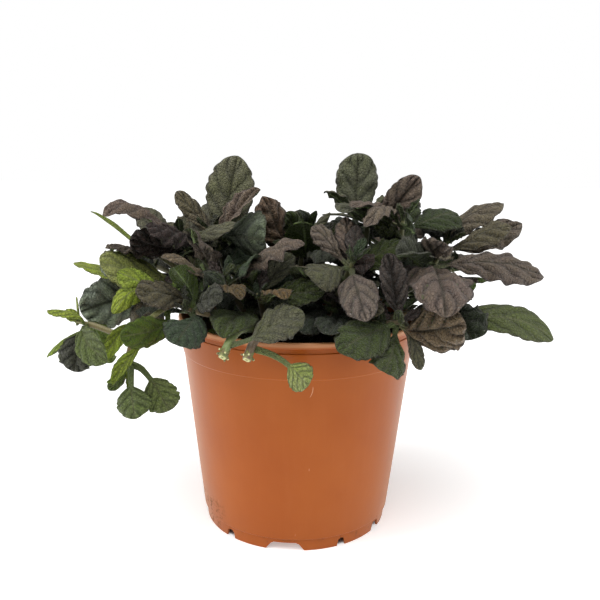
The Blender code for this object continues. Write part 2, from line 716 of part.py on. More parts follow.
def make_tier(name, shoot, sleeve, rows, space, parts, material):
    """One tier of leaves, grown out of the sides of its sleeve."""
    start, outer = sleeve["start"], sleeve["outer"]
    ahead, across = sleeve["ahead"], sleeve["across"]
    verts, faces, sides = sleeve["verts"], sleeve["faces"], sleeve["sides"]
    used = set()
    for row in rows:
        way = leaf_tip(row, start) - start
        for k, out in sides_by_way(way, ahead, across, used):
            base = start + out * (outer + FIT_GAP)
            tip = clear_leaf(row, start, base, out, space, shoot)
            if tip:
                break
        else:
            raise ValueError("no clear place for a leaf of " + name)
        used.add(k)
        space.add(*ring_mesh(leaf_rings(base, out, tip, row)))
        rings = leaf_rings(base, out, tip, row, foot=False)
        corners = sides.pop(k)
        count = len(verts)
        ring_verts, ring_faces = ring_mesh(rings)
        verts += ring_verts
        faces += [tuple(count + i for i in face) for face in ring_faces[1:]]
        faces += join_side(verts, corners, [count + i for i in range(4)], out)
    faces += list(sides.values())
    mesh = mesh_from(name, verts, faces)
    bm = bmesh.new()
    bm.from_mesh(mesh)
    bmesh.ops.recalc_face_normals(bm, faces=bm.faces)
    bmesh.ops.triangulate(bm, faces=bm.faces)
    if bm.calc_volume(signed=True) < 0:
        bmesh.ops.reverse_faces(bm, faces=bm.faces)
    bm.to_mesh(mesh)
    bm.free()
    add_object(name, mesh, parts, material)


def join_side(verts, corners, ring, out):
    """Faces from a sleeve side's four corners to a leaf's first ring."""
    def turns_with(loop):
        a, b, c, d = (Vector(verts[i]) for i in loop)
        return (c - a).cross(d - b).dot(out) > 0
    ring = list(ring)
    if turns_with(corners) != turns_with(ring):
        ring.reverse()
    best = min(range(4), key=lambda s: sum(
        (Vector(verts[corners[i]]) - Vector(verts[ring[(i + s) % 4]])).length
        for i in range(4)))
    ring = ring[best:] + ring[:best]
    return [(corners[i], corners[(i + 1) % 4], ring[(i + 1) % 4], ring[i]) for i in range(4)]


def path_length(points):
    return sum((q - p).length for p, q in zip(points, points[1:]))


# ------------------------------------------------------------------ putting it together
def standing_mesh(piece):
    """Vertices and faces of a finished object in world space."""
    bpy.context.view_layer.update()
    finished = piece.evaluated_get(bpy.context.evaluated_depsgraph_get())
    mesh = finished.to_mesh()
    verts = [piece.matrix_world @ v.co for v in mesh.vertices]
    faces = [tuple(f.vertices) for f in mesh.polygons]
    finished.to_mesh_clear()
    return verts, faces


def main():
    clear_scene()
    parts = make_collection("potted_bugleweed")
    cutters = make_collection("cutters")
    materials = {name: make_material(name) for name in COLOURS}
    stems = {name: plan_stem(shoot) for name, shoot in SHOOTS.items()}
    solid = [make_pot(parts, cutters, materials), make_mix(parts, cutters, materials, stems)]
    for name, stem in stems.items():
        solid.append(make_stem(name + "_stem", stem, SHOOTS[name].get("cut", False), parts,
                               materials["stem_green"]))
    space = Space()
    for piece in solid:
        space.add(*standing_mesh(piece), piece.name.removesuffix("_stem"))
    tiers = []
    for name, shoot in SHOOTS.items():
        skin = materials["leaf_green" if name in YOUNG_SHOOTS else "leaf_purple"]
        for number, (share, rows) in enumerate(shoot["tiers"].items(), 1):
            sleeve = plan_sleeve(stems[name], share, rows)
            space.add(sleeve["verts"], sleeve["faces"] + list(sleeve["sides"].values()), name)
            tiers.append((f"{name}_leaves_{number}", name, sleeve, rows, skin))
    for title, name, sleeve, rows, skin in tiers:
        make_tier(title, name, sleeve, rows, space, parts, skin)


main()
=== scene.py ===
import json
import math
import random

import bmesh
import bpy
import numpy as np
from mathutils import Matrix, Vector
from mathutils.bvhtree import BVHTree


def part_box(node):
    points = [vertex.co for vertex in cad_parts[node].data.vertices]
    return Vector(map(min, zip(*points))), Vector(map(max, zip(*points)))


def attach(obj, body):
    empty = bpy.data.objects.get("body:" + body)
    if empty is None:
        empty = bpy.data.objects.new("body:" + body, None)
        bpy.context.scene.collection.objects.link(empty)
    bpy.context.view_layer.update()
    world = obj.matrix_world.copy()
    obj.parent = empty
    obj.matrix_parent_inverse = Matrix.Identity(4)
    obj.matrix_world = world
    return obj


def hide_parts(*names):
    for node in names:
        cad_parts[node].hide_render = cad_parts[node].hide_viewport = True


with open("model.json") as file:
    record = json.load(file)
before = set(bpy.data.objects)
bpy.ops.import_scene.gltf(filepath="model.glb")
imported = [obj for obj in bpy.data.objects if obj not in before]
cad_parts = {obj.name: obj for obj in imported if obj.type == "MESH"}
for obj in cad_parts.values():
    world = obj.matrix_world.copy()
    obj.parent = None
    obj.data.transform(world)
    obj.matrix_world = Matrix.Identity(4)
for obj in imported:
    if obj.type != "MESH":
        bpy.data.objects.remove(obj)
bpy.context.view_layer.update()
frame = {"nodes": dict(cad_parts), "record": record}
cadNodes = frame["nodes"]
slotOf = {part["node"]: part["material_slot"] for part in frame["record"]["subparts"]}
mm = 0.001
print("frame loaded:", len(cadNodes), "nodes")


# small helpers for node trees
def addNode(tree, kind, settings=None, inputs=None):
    made = tree.nodes.new(kind)
    for key, value in (settings or {}).items():
        setattr(made, key, value)
    for key, value in (inputs or {}).items():
        if isinstance(value, bpy.types.NodeSocket):
            tree.links.new(value, made.inputs[key])
        else:
            made.inputs[key].default_value = value
    return made


def calc(tree, operation, *values, clamp=False):
    made = addNode(tree, "ShaderNodeMath", {"operation": operation, "use_clamp": clamp},
                   dict(enumerate(values)))
    return made.outputs[0]


def times(tree, first, second):
    return calc(tree, "MULTIPLY", first, second)


def ramp(tree, value, low, high, toLow=0.0, toHigh=1.0):
    made = addNode(tree, "ShaderNodeMapRange", {"interpolation_type": "SMOOTHSTEP"},
                   {0: value, 1: low, 2: high, 3: toLow, 4: toHigh})
    return made.outputs[0]


def mixColour(tree, amount, first, second, blend="MIX"):
    made = addNode(tree, "ShaderNodeMix", {"data_type": "RGBA", "blend_type": blend},
                   {0: amount, 6: first, 7: second})
    return made.outputs[2]


def tinted(tree, colour, tint):
    return mixColour(tree, 1.0, colour, (*tint, 1.0), "MULTIPLY")


def objectPlace(tree):
    return addNode(tree, "ShaderNodeTexCoord").outputs["Object"]


def noise(tree, vector, scale, detail=3.0, roughness=0.55):
    made = addNode(tree, "ShaderNodeTexNoise", None,
                   {"Vector": vector, "Scale": scale, "Detail": detail, "Roughness": roughness})
    return made.outputs[0]


def attribute(tree, name, output="Fac"):
    made = addNode(tree, "ShaderNodeAttribute", {"attribute_name": name})
    return made.outputs[output]


def named(tree, name, kind="FLOAT"):
    made = addNode(tree, "GeometryNodeInputNamedAttribute", {"data_type": kind}, {"Name": name})
    return made.outputs[0]


def stretched(tree, vector, along, turn=(0.0, 0.0, 0.0)):
    # a place squeezed along its height, for streaks
    return addNode(tree, "ShaderNodeMapping", None, {
        "Vector": vector, "Rotation": turn, "Scale": (1.0, 1.0, along)}).outputs[0]


def scaledVector(tree, vector, scale):
    return addNode(tree, "ShaderNodeVectorMath", {"operation": "SCALE"},
                   {0: vector, "Scale": scale}).outputs[0]


def newGroup(name, kind, inputs, outputs):
    tree = bpy.data.node_groups.new(name, kind)
    for title, socket, value in inputs:
        made = tree.interface.new_socket(title, in_out="INPUT", socket_type="NodeSocket" + socket)
        if value is not None:
            made.default_value = value
    for title, socket in outputs:
        tree.interface.new_socket(title, in_out="OUTPUT", socket_type="NodeSocket" + socket)
    return tree, tree.nodes.new("NodeGroupInput"), tree.nodes.new("NodeGroupOutput")


def tone(red, green, blue):
    # a display colour, 0 to 255, as the linear colour that shaders use
    linear = [((c / 255 + 0.055) / 1.055) ** 2.4 if c > 10 else c / 255 / 12.92
              for c in (red, green, blue)]
    return (*linear, 1.0)


def plainMaterial(name, colour, roughness):
    material = bpy.data.materials.new(name)
    material.use_nodes = True
    shader = material.node_tree.nodes["Principled BSDF"]
    shader.inputs["Base Color"].default_value = colour
    shader.inputs["Roughness"].default_value = roughness
    return material, material.node_tree, shader


def paint(tree, shader, colour, roughness, height, strength, distance):
    # links what changes over a surface: its colour, roughness and relief
    bump = addNode(tree, "ShaderNodeBump", None,
                   {"Strength": strength, "Distance": distance, "Height": height})
    tree.links.new(colour, shader.inputs["Base Color"])
    tree.links.new(roughness, shader.inputs["Roughness"])
    tree.links.new(bump.outputs[0], shader.inputs["Normal"])


def addObject(name, data):
    made = bpy.data.objects.new(name, data)
    bpy.context.scene.collection.objects.link(made)
    return made


def finishedMesh(holder):
    # what an object's modifiers make of it, as a plain mesh
    bpy.context.view_layer.update()
    finished = holder.evaluated_get(bpy.context.evaluated_depsgraph_get())
    return bpy.data.meshes.new_from_object(finished)


# what the CAD leaves and stems say about their own shape
def welded(name):
    bm = bmesh.new()
    bm.from_mesh(cadNodes[name].data)
    bmesh.ops.remove_doubles(bm, verts=bm.verts, dist=0.00001)
    return bm


def ringsFromTip(tip):
    # the leaf's five rings of four corners, from its tip back to its stalk
    rings, seen, edge = [], {tip}, [tip]
    while len(rings) < 5:
        edge = list({e.other_vert(v) for v in edge for e in v.link_edges} - seen)
        if len(edge) != 4:
            return None
        seen.update(edge)
        rings.append([v.co.copy() for v in edge])
    return rings, seen


def readLeaf(rings, tip, sleeve):
    # middle, up, half width at each ring, stalk first
    stations = []
    for ring in reversed(rings):
        pairs = [(a, b) for k, a in enumerate(ring) for b in ring[k + 1:]]
        left, right = max(pairs, key=lambda p: (p[0] - p[1]).length)
        top, low = [v for v in ring if v is not left and v is not right]
        up = (top - low).normalized()
        if ((left + right) / 2 - (top + low) / 2).dot(up) < 0:
            up = -up
        stations.append({"at": (top + low) / 2, "up": up, "half": (left - right).length / 2})
    return {"stations": stations, "tip": tip, "from": sleeve, "half": stations[3]["half"]}


def readLeaves(name):
    bm = welded(name)
    found, used = [], set()
    for vert in bm.verts:
        if len(vert.link_edges) == 4:
            got = ringsFromTip(vert)
            if got:
                found.append((got[0], vert.co.copy()))
                used |= got[1]
    rest = [v.co for v in bm.verts if v not in used]
    sleeve = sum(rest, Vector()) / len(rest)
    leaves = [readLeaf(rings, tip, sleeve) for rings, tip in found]
    bm.free()
    return leaves


def readStem(name):
    # the middle and radius of each ring of a stem, from its foot to its growing tip
    bm = welded(name)
    left = [v.co.copy() for v in bm.verts]
    bm.free()
    rings = []
    while left:
        ring = [left.pop()]
        k = 0
        while k < len(ring):
            near = [v for v in left if (v - ring[k]).length < 2.2 * mm]
            left = [v for v in left if (v - ring[k]).length >= 2.2 * mm]
            ring += near
            k += 1
        middle = sum(ring, Vector()) / len(ring)
        rings.append((middle, max((v - middle).length for v in ring)))
    whole = sum((r[0] for r in rings), Vector()) / len(rings)
    line = [max(rings, key=lambda r: (r[0] - whole).length)]
    rings.remove(line[0])
    while rings:
        line.append(min(rings, key=lambda r: (r[0] - line[-1][0]).length))
        rings.remove(line[-1])
    tapers = line[-1][1] / line[0][1]
    if tapers > 1.05 or (0.95 < tapers and line[0][0].z > line[-1][0].z):
        line.reverse()
    return line


leafNodes = sorted(n for n in cadNodes if "_leaves_" in n)
stemNodes = sorted(n for n in cadNodes if n.endswith("_stem"))
cadLeaves = {name: readLeaves(name) for name in leafNodes}
cadStems = {name: readStem(name) for name in stemNodes}
print("leaves read:", sum(len(v) for v in cadLeaves.values()))

# colours of the leaves' upper sides, how pale their veins are and how crumpled they are; a few are
# lighter or darker copies that paint light or shade onto single leaves
leafTones = {
    "plum": (tone(90, 79, 70), 0.15, 1.2),
    "plumDark": (tone(54, 45, 41), 0.10, 1.6),
    "plumBrown": (tone(86, 72, 57), 0.15, 1.5),
    "rust": (tone(80, 62, 34), 0.35, 1.0),
    "olive": (tone(80, 80, 62), 0.25, 0.7),
    "olivePlum": (tone(77, 72, 54), 0.2, 1.0),
    "greyOlive": (tone(72, 72, 52), 0.50, 0.3),
    "slate": (tone(50, 52, 42), 0.20, 1.2),
    "teal": (tone(42, 56, 36), 0.35, 0.7),
    "moss": (tone(46, 55, 16), 0.45, 0.7),
    "mossDark": (tone(26, 34, 16), 0.30, 0.9),
    "fresh": (tone(62, 80, 14), 0.85, 0.45),
    "lime": (tone(112, 126, 42), 0.95, 0.35),
    "pale": (tone(136, 144, 84), 0.95, 0.3),
    # painted shade: the next tone is a much darker green, for a leaf that sits in shade though the lamps
    # reach it
    "deep": (tone(32, 44, 3), 0.45, 0.6),
    # the next two are lighter copies of slate and teal, painted light for leaves that the lamps leave in
    # shade
    "ash": (tone(108, 114, 100), 0.25, 1.0), "greyTeal": (tone(80, 86, 72), 0.35, 0.7),
    "leafGreen": (tone(74, 83, 45), 0.75, 0.45),
}

# tints of the leaves that stand out, by node and the leaf's tip in millimetres
leafPaint = {
    "left_cut_stalk_leaves_1": {(3, -72, 131): "greyOlive"},
    "right_cut_stalk_leaves_1": {(5, -79, 99): "pale"},
    "right_rim_leaves_1": {
        (18, -81, 116): "moss", (77, -70, 126): "plumBrown", (42, -82, 104): "moss",
        (60, -68, 100): "olive", (43, -44, 155): "plumDark"},
    "left_rim_leaves_1": {
        (-53, -80, 115): "teal", (-76, -60, 138): "olivePlum", (-58, -57, 149): "fresh",
        (-38, -64, 139): "slate", (-82, -30, 122): "mossDark"},
    "trailing_runner_leaves_1": {
        (-79, -58, 151): "lime", (-78, -87, 120): "fresh", (-88, -64, 134): "lime"},
    "trailing_runner_leaves_2": {(-95, -74, 104): "lime", (-90, -84, 98): "lime"},
    "trailing_runner_leaves_3": {(-76, -81, 80): "leafGreen", (-54, -72, 86): "leafGreen"},
    "side_runner_leaves_1": {
        (-104, -68, 101): "slate", (-88, -84, 105): "leafGreen", (-121, -54, 104): "lime",
        (-118, -58, 128): "lime", (-94, -44, 98): "slate"},
    "right_low_leaves_1": {
        (128, -40, 112): "leafGreen", (89, -54, 112): "mossDark", (60, -46, 139): "slate",
        (94, -4, 136): "plum", (86, -46, 140): "fresh"},
    # this leaf takes the pale tone as painted light shining through it
    "left_outer_leaves_1": {(-101, -30, 143): "pale"},
    "left_outer_leaves_2": {
        (-100, -18, 152): "plum", (-120, 30, 166): "lime", (-74, -3, 164): "slate"},
    "left_low_leaves_1": {
        (-109, -36, 122): "ash", (-106, -2, 144): "ash", (-125, 22, 138): "lime",
        (-82, -42, 120): "moss"},
    "left_upright_leaves_1": {(-72, -34, 149): "plum"},
    "left_upright_leaves_2": {
        (-37, 4, 199): "olive", (-17, -30, 159): "greyTeal", (-66, 4, 180): "olivePlum",
        (-21, -20, 184): "plum"},
    "right_upright_leaves_1": {(48, -30, 154): "teal"},
    "right_upright_leaves_2": {
        (32, 22, 201): "olive", (63, 8, 191): "plum", (14, 0, 181): "olive",
        (22, -22, 172): "olive"},
    "right_high_leaves_1": {
        (113, -5, 164): "olivePlum", (113, 25, 176): "plum", (124, 14, 164): "plum"},
    "right_outer_leaves_1": {(104, 8, 138): "fresh", (52, -48, 128): "moss"},
    "right_outer_leaves_2": {
        (65, -74, 136): "plum", (129, -15, 139): "plum", (46, -50, 155): "slate",
        (74, -32, 165): "plum"},
    "centre_left_leaves_1": {(-34, -71, 122): "moss"},
    "centre_left_leaves_2": {
        (-66, -54, 150): "plumBrown", (3, -44, 159): "plum", (-35, -68, 140): "rust"},
    "centre_leaves_1": {(-2, -64, 123): "mossDark", (17, -74, 119): "mossDark"},
    "centre_leaves_2": {
        (30, -73, 131): "plum", (5, -56, 145): "greyOlive", (54, -26, 158): "moss",
        (6, -34, 166): "plum", (24, -12, 171): "plum"},
    "left_arching_leaves_1": {
        (-100, -32, 166): "plum", (-42, -46, 153): "olive", (-84, -20, 160): "plumDark"},
    "centre_front_leaves_1": {
        (-6, -32, 156): "teal", (-32, -20, 153): "moss", (-3, -69, 139): "rust",
        (12, -42, 142): "moss"},
    "right_inner_leaves_1": {
        (34, -39, 167): "plum", (88, 16, 169): "deep", (57, -36, 152): "teal"},
    "centre_back_leaves_1": {(-20, 2, 178): "plumBrown", (4, -20, 167): "fresh"},
}
otherTones = ("plum", "plumDark", "olivePlum", "moss", "slate", "olive", "mossDark", "teal")

# leaves with a set of their own, by tip: fold of the two halves, fullness towards the stalk,
# point of the tip, width, stalk's share of the length, and in millimetres the middle's arch and
# the tip's shift
leafFits = {
    (-21, -20, 184): {"fold": 0.9, "shift": (6, 0, -5)},
    (43, -44, 155): {"fold": 1.2, "wide": 0.8},
    (-100, -32, 166): {"fold": -0.2, "arch": 6, "shift": (3, 0, 4)},
    (34, -39, 167): {"fold": -0.3, "arch": 4, "wide": 0.8, "shift": (-2, 0, 0)},
    (3, -44, 159): {"fold": -0.2, "arch": 3},
    (-66, -54, 150): {"fold": -0.3, "arch": 3},
    (65, -74, 136): {"fold": -0.12, "full": 0.66, "blunt": 1.15, "shift": (1, -2, -5)},
    (30, -73, 131): {"fold": -0.2, "full": 0.6, "blunt": 1.1, "wide": 0.95, "shift": (1, 0, -3)},
    (129, -15, 139): {"fold": -0.3, "arch": 3},
    (128, -40, 112): {"fold": -0.15, "arch": 4},
    (89, -54, 112): {"shift": (-5, 0, 3)},
    (113, -5, 164): {"fold": -0.35, "arch": 3},
    (113, 25, 176): {"fold": -0.5, "wide": 0.8, "arch": 2, "shift": (3, 0, -2)},
    (88, 16, 169): {"fold": -0.15},
    (63, 8, 191): {"fold": 0.4, "wide": 0.85, "shift": (2, 0, -2)},
    (74, -32, 165): {"fold": 0.2, "wide": 1.2, "arch": 1, "shift": (-2, -4, -6)},
    (3, -72, 131): {"fold": 0.12, "stalk": 0.3},
    (-37, 4, 199): {"fold": 0.1, "wide": 1.1, "shift": (4, 0, 0)},
    (32, 22, 201): {"fold": -0.1, "blunt": 0.8},
    (5, -79, 99): {"stalk": 0.58, "fold": 0.2},
    (-54, -72, 86): {"fold": 0.2, "stalk": 0.4, "wide": 1.05, "shift": (-5, 0, -2)},
    (-76, -81, 80): {"fold": -0.2, "stalk": 0.42, "wide": 1.05, "shift": (3, 0, 3)},
    (-90, -84, 98): {"fold": 0.5, "stalk": 0.3, "blunt": 1.5, "wide": 0.7, "shift": (8, 0, 2)},
    (-95, -74, 104): {"fold": 0.6, "wide": 0.6, "blunt": 1.5, "shift": (6, 0, -1)},
    (-120, 30, 166): {"fold": 0.2, "wide": 0.45},
    (-79, -58, 151): {"fold": 0.5, "blunt": 1.2, "wide": 0.75, "arch": 0, "shift": (9, 0, 5)},
    (-88, -64, 134): {"fold": -0.5, "arch": 7, "wide": 0.7, "shift": (2, 0, -6)},
    (-78, -87, 120): {"fold": 0.1, "wide": 0.85, "shift": (1, 0, 3)},
    (-88, -84, 105): {"fold": 0.3, "wide": 0.6, "shift": (3, 0, 0)},
    (-58, -57, 149): {"fold": 0.7, "wide": 0.75},
    (-101, -30, 143): {"fold": 0.0, "shift": (1, 0, 3)},
    (-53, -80, 115): {"fold": -0.2, "arch": 3, "shift": (-1, 0, 3)},
    (-34, -71, 122): {"fold": 0.1, "arch": 3, "shift": (0, -1, -3)},
    (-35, -68, 140): {"fold": 0.1, "arch": 2, "shift": (3, 0, -4)},
    (-3, -69, 139): {"fold": 0.1, "arch": 4, "shift": (-3, 0, -2)},
    (-66, 4, 180): {"wide": 0.8},
    (6, -34, 166): {"fold": -0.25, "arch": 2, "wide": 0.8},
    (24, -12, 171): {"fold": -0.3, "arch": 2, "wide": 0.85, "shift": (0, 0, -2)},
    (60, -68, 100): {"wide": 0.6, "shift": (-2, 0, 5)},
    (42, -82, 104): {"shift": (-3, 0, 3)},
}

leafShape = {
    # rows and columns of a blade and rows of its stalk; the coarse leaf is for finding clashes
    "fine": (44, 20, 6), "plain": (22, 12, 3), "coarse": (8, 4, 2),
    "baseFullness": 0.8, "tipBluntness": 0.58,    # the outline is t**a * (1-t)**b
    "stalkShare": 0.45,                            # of the way to where the CAD blade begins
    "lobes": 7.5, "lobeDepth": 0.085,
    "folds": (-0.45, 0.35), "marginCurl": 0.14, "marginWave": 0.12, "waves": (2.2, 4.6),
    "thick": 0.5 * mm, "stalkThick": 1.3 * mm, "stalkHalf": 1.25 * mm,
    "footOut": 1.3 * mm,                           # from the middle of its stem
    "veinPairs": 3.6, "veinSweep": 0.42,
}


def smoothPath(places):
    # a curve through the given places, twelve points to a stretch, and the length run at each
    padded = [2 * places[0] - places[1], *places, 2 * places[-1] - places[-2]]
    dense = []
    for k in range(1, len(padded) - 2):
        a, b, c, d = (np.array(p) for p in padded[k - 1:k + 3])
        for t in np.linspace(0, 1, 12, endpoint=False):
            dense.append(0.5 * (2 * b + (c - a) * t + (2 * a - 5 * b + 4 * c - d) * t * t
                                + (3 * b - a - 3 * c + d) * t ** 3))
    dense.append(np.array(places[-1]))
    dense = np.array(dense)
    run = np.r_[0, np.cumsum(np.linalg.norm(np.diff(dense, axis=0), axis=1))]
    return dense, run


def bladeShell(leaf, rows, columns, stalkRows):
    # a closed leaf: upper and lower grids that share their margins and their tip
    shape = leafShape
    places = [leaf["foot"]] + [s["at"] for s in leaf["stations"]] + [leaf["tip"]]
    ups = [leaf["stations"][0]["up"]] + [s["up"] for s in leaf["stations"]]
    ups.append(ups[-1])
    dense, run = smoothPath(places)
    knots = [run[12 * k] if 12 * k < len(run) else run[-1] for k in range(len(places))]
    bladeStart = run[-1] * leaf["stalk"] if "stalk" in leaf else knots[2] * shape["stalkShare"]
    bladeRun = run[-1] - bladeStart
    stalk = np.linspace(0, bladeStart, stalkRows, endpoint=False)
    ease = np.linspace(0, 1, rows + 1)
    ease = 1 - (1 - ease) ** 1.25                  # closer rows where the tip turns round
    at = np.r_[stalk, bladeStart + ease * bladeRun]
    along = (at - bladeStart) / bladeRun
    spine = np.array([np.interp(at, run, dense[:, i]) for i in range(3)]).T
    reach = at[:, None] / run[-1]
    spine = spine + reach ** 2 * np.array(leaf.get("shift", (0, 0, 0))) * mm
    spine[:, 2] += np.sin(math.pi * reach[:, 0]) * leaf.get("arch", 0) * mm
    up = np.array([np.interp(at, knots, [u[i] for u in ups]) for i in range(3)]).T
    way = np.gradient(spine, axis=0)
    way /= np.linalg.norm(way, axis=1)[:, None]
    up -= way * (up * way).sum(1)[:, None]
    up /= np.linalg.norm(up, axis=1)[:, None]
    side = np.cross(way, up)

    t = np.clip(along, 0, 1)
    full = shape["baseFullness"] * leaf["full"]
    blunt = shape["tipBluntness"] * leaf["blunt"]
    peak = full / (full + blunt)
    outline = t ** full * (1 - t) ** blunt / (peak ** full * (1 - peak) ** blunt)    # widest at peak
    across = np.linspace(-1, 1, columns + 1)
    half = np.zeros((len(at), 2))
    for k, phase in enumerate(leaf["phase"]):
        lobe = np.abs(np.sin(math.pi * (t * shape["lobes"] + phase))) ** 0.7
        grown = np.interp(t, [0, 0.18, 0.4, 0.96, 1], [0, 0, 1, 1, 0])       # none by the stalk
        grown = grown * (1 + 0.5 * np.sin(t * 23 + phase * 9))
        half[:, k] = leaf["half"] * outline * (1 - leaf["teeth"] * (1 - lobe) * grown)
    stalkHalf = shape["stalkHalf"] * np.interp(along, [along[0], 0, 0.3], [1.5, 1.0, 1.0])
    stalkHalf = np.where(along < 0.75, stalkHalf, 0)
    half = np.maximum(half, stalkHalf[:, None])
    half[-1] = 0                                   # both sides meet at the tip
    wide = np.where(across[None] < 0, half[:, :1], half[:, 1:])
    a = np.abs(across)[None]
    wave = np.sin(2 * math.pi * (t[:, None] * leaf["waves"] + np.where(
        across[None] < 0, leaf["phase"][0], leaf["phase"][1])))
    lift = wide * (leaf["fold"] * a - leaf["curl"] * a ** 4 + leaf["wave"] * wave * a ** 2)
    upper = (spine[:, None] + side[:, None] * (wide * across[None])[..., None]
             + up[:, None] * lift[..., None])
    blade = np.clip(t * 5, 0, 1)[:, None]
    body = (1 - blade) * shape["stalkThick"] + blade * shape["thick"]
    # a rib under the middle, and edges that thin to nothing
    rib = (1 - t)[:, None] ** 0.8 * 0.5 * mm * np.exp(-(a * wide / (0.9 * mm)) ** 2) * blade
    thick = (body + rib) * np.sqrt(np.clip(1 - a ** 2.5, 0, 1))
    lower = upper - up[:, None] * thick[..., None]

    verts = upper.reshape(-1, 3)
    n = columns + 1
    index = np.arange(len(verts)).reshape(len(at), n)
    index[-1] = index[-1, 0]
    inner = np.arange((len(at) - 1) * (columns - 1)).reshape(len(at) - 1, columns - 1)
    below = index.copy()
    below[:-1, 1:-1] = len(verts) + inner
    verts = np.concatenate([verts, lower[:-1, 1:-1].reshape(-1, 3)])
    faces = []
    for grid, turned in ((index, False), (below, True)):
        for r in range(len(at) - 1):
            for c in range(columns):
                loop = [grid[r, c], grid[r, c + 1], grid[r + 1, c + 1], grid[r + 1, c]]
                loop = list(dict.fromkeys(int(v) for v in loop))
                faces.append(loop[::-1] if turned else loop)
    # the cut end of the stalk
    faces.append([int(v) for v in index[0]][::-1] + [int(v) for v in below[0, 1:-1]])
    gridSize = (len(at), n)
    onTop = {
        "across": np.broadcast_to(across[None], gridSize),
        "along": np.broadcast_to(along[:, None], gridSize),
        "under": np.zeros(gridSize),
        "mapX": wide * across[None], "mapY": np.broadcast_to(at[:, None], gridSize),
    }
    data = {k: np.r_[v.reshape(-1), v[:-1, 1:-1].reshape(-1)] for k, v in onTop.items()}
    data["under"][len(upper.reshape(-1, 3)):] = 1.0
    data["up"] = np.concatenate([np.repeat(up, n, axis=0),
                                 np.repeat(up[:-1], columns - 1, axis=0)])
    return verts, faces, data


def dressLeaf(leaf, rng, toneName, restless=1.0):
    # chance differences between leaves
    leaf["full"] = rng.uniform(0.85, 1.2)
    leaf["blunt"] = rng.uniform(0.85, 1.15)
    leaf["phase"] = (rng.random(), rng.random())
    leaf["teeth"] = leafShape["lobeDepth"] * rng.uniform(0.7, 1.3)
    leaf["fold"] = rng.uniform(*leafShape["folds"])
    leaf["curl"] = leafShape["marginCurl"] * rng.uniform(0.3, 2.0)
    leaf["wave"] = leafShape["marginWave"] * rng.uniform(0.5, 1.6) * restless
    leaf["waves"] = rng.uniform(*leafShape["waves"])
    leaf["seed"] = rng.random()
    colour, veins, crumple = leafTones[toneName]
    leaf["crumple"] = crumple * rng.uniform(0.8, 1.2)
    leaf["wave"] *= leaf["crumple"]
    shift = rng.uniform(0.85, 1.15)
    leaf["tone"] = tuple(min(1.0, c * shift * rng.uniform(0.95, 1.05)) for c in colour[:3])
    leaf["veins"] = veins
    return leaf


def leafMesh(name, leaves, detail):
    rows, columns, stalkRows = leafShape[detail]
    allVerts, allFaces, chunks = [], [], []
    count = 0
    for leaf in leaves:
        verts, faces, data = bladeShell(leaf, rows, columns, stalkRows)
        allVerts.append(verts)
        allFaces += [[v + count for v in face] for face in faces]
        count += len(verts)
        size = len(verts)
        data["half"] = np.full(size, leaf["half"])
        data["seed"] = np.full(size, leaf["seed"])
        data["crumple"] = np.full(size, leaf["crumple"])
        data["tone"] = np.tile([*leaf["tone"], leaf["veins"]], (size, 1))
        chunks.append(data)
    mesh = bpy.data.meshes.new(name)
    mesh.from_pydata(np.concatenate(allVerts).tolist(), [], allFaces)
    mesh.shade_smooth()
    whole = {k: np.concatenate([c[k] for c in chunks]) for k in chunks[0]}
    for key in ("across", "along", "under", "half", "seed", "crumple"):
        layer = mesh.attributes.new(key, "FLOAT", "POINT")
        layer.data.foreach_set("value", whole[key].astype(np.float32))
    layer = mesh.attributes.new("up", "FLOAT_VECTOR", "POINT")
    layer.data.foreach_set("vector", whole["up"].astype(np.float32).ravel())
    layer = mesh.attributes.new("tone", "FLOAT_COLOR", "POINT")
    layer.data.foreach_set("color", whole["tone"].astype(np.float32).ravel())
    uv = mesh.uv_layers.new(name="leafMap")
    corner = np.empty(len(mesh.loops), np.int32)
    mesh.loops.foreach_get("vertex_index", corner)
    flat = np.stack([whole["mapX"][corner] * 10 + 0.5, whole["mapY"][corner] * 10], 1)
    uv.data.foreach_set("uv", flat.astype(np.float32).ravel())
    return mesh


def veinPattern(tree, across, along, seed):
    # how far from the side veins, 0 on a vein to 1 between two, and the same for the midrib
    side = calc(tree, "ABSOLUTE", across)
    sweep = times(tree, calc(tree, "POWER", side, 1.25), leafShape["veinSweep"])
    pairs = calc(tree, "MULTIPLY_ADD", seed, 1.0, leafShape["veinPairs"] - 0.5)
    row = times(tree, calc(tree, "SUBTRACT", along, sweep), pairs)
    wander = noise(tree, addNode(tree, "ShaderNodeCombineXYZ", None, {
        0: along, 1: across, 2: times(tree, seed, 40.0)}).outputs[0], 2.6, 2.0)
    row = calc(tree, "MULTIPLY_ADD", wander, 0.4, row)
    leftSide = times(tree, calc(tree, "LESS_THAN", across, 0.0), 0.3)
    row = calc(tree, "ADD", row, leftSide)
    wave = calc(tree, "ABSOLUTE", calc(tree, "SINE", times(tree, row, math.pi)))
    between = calc(tree, "POWER", wave, 0.55)
    return between, side


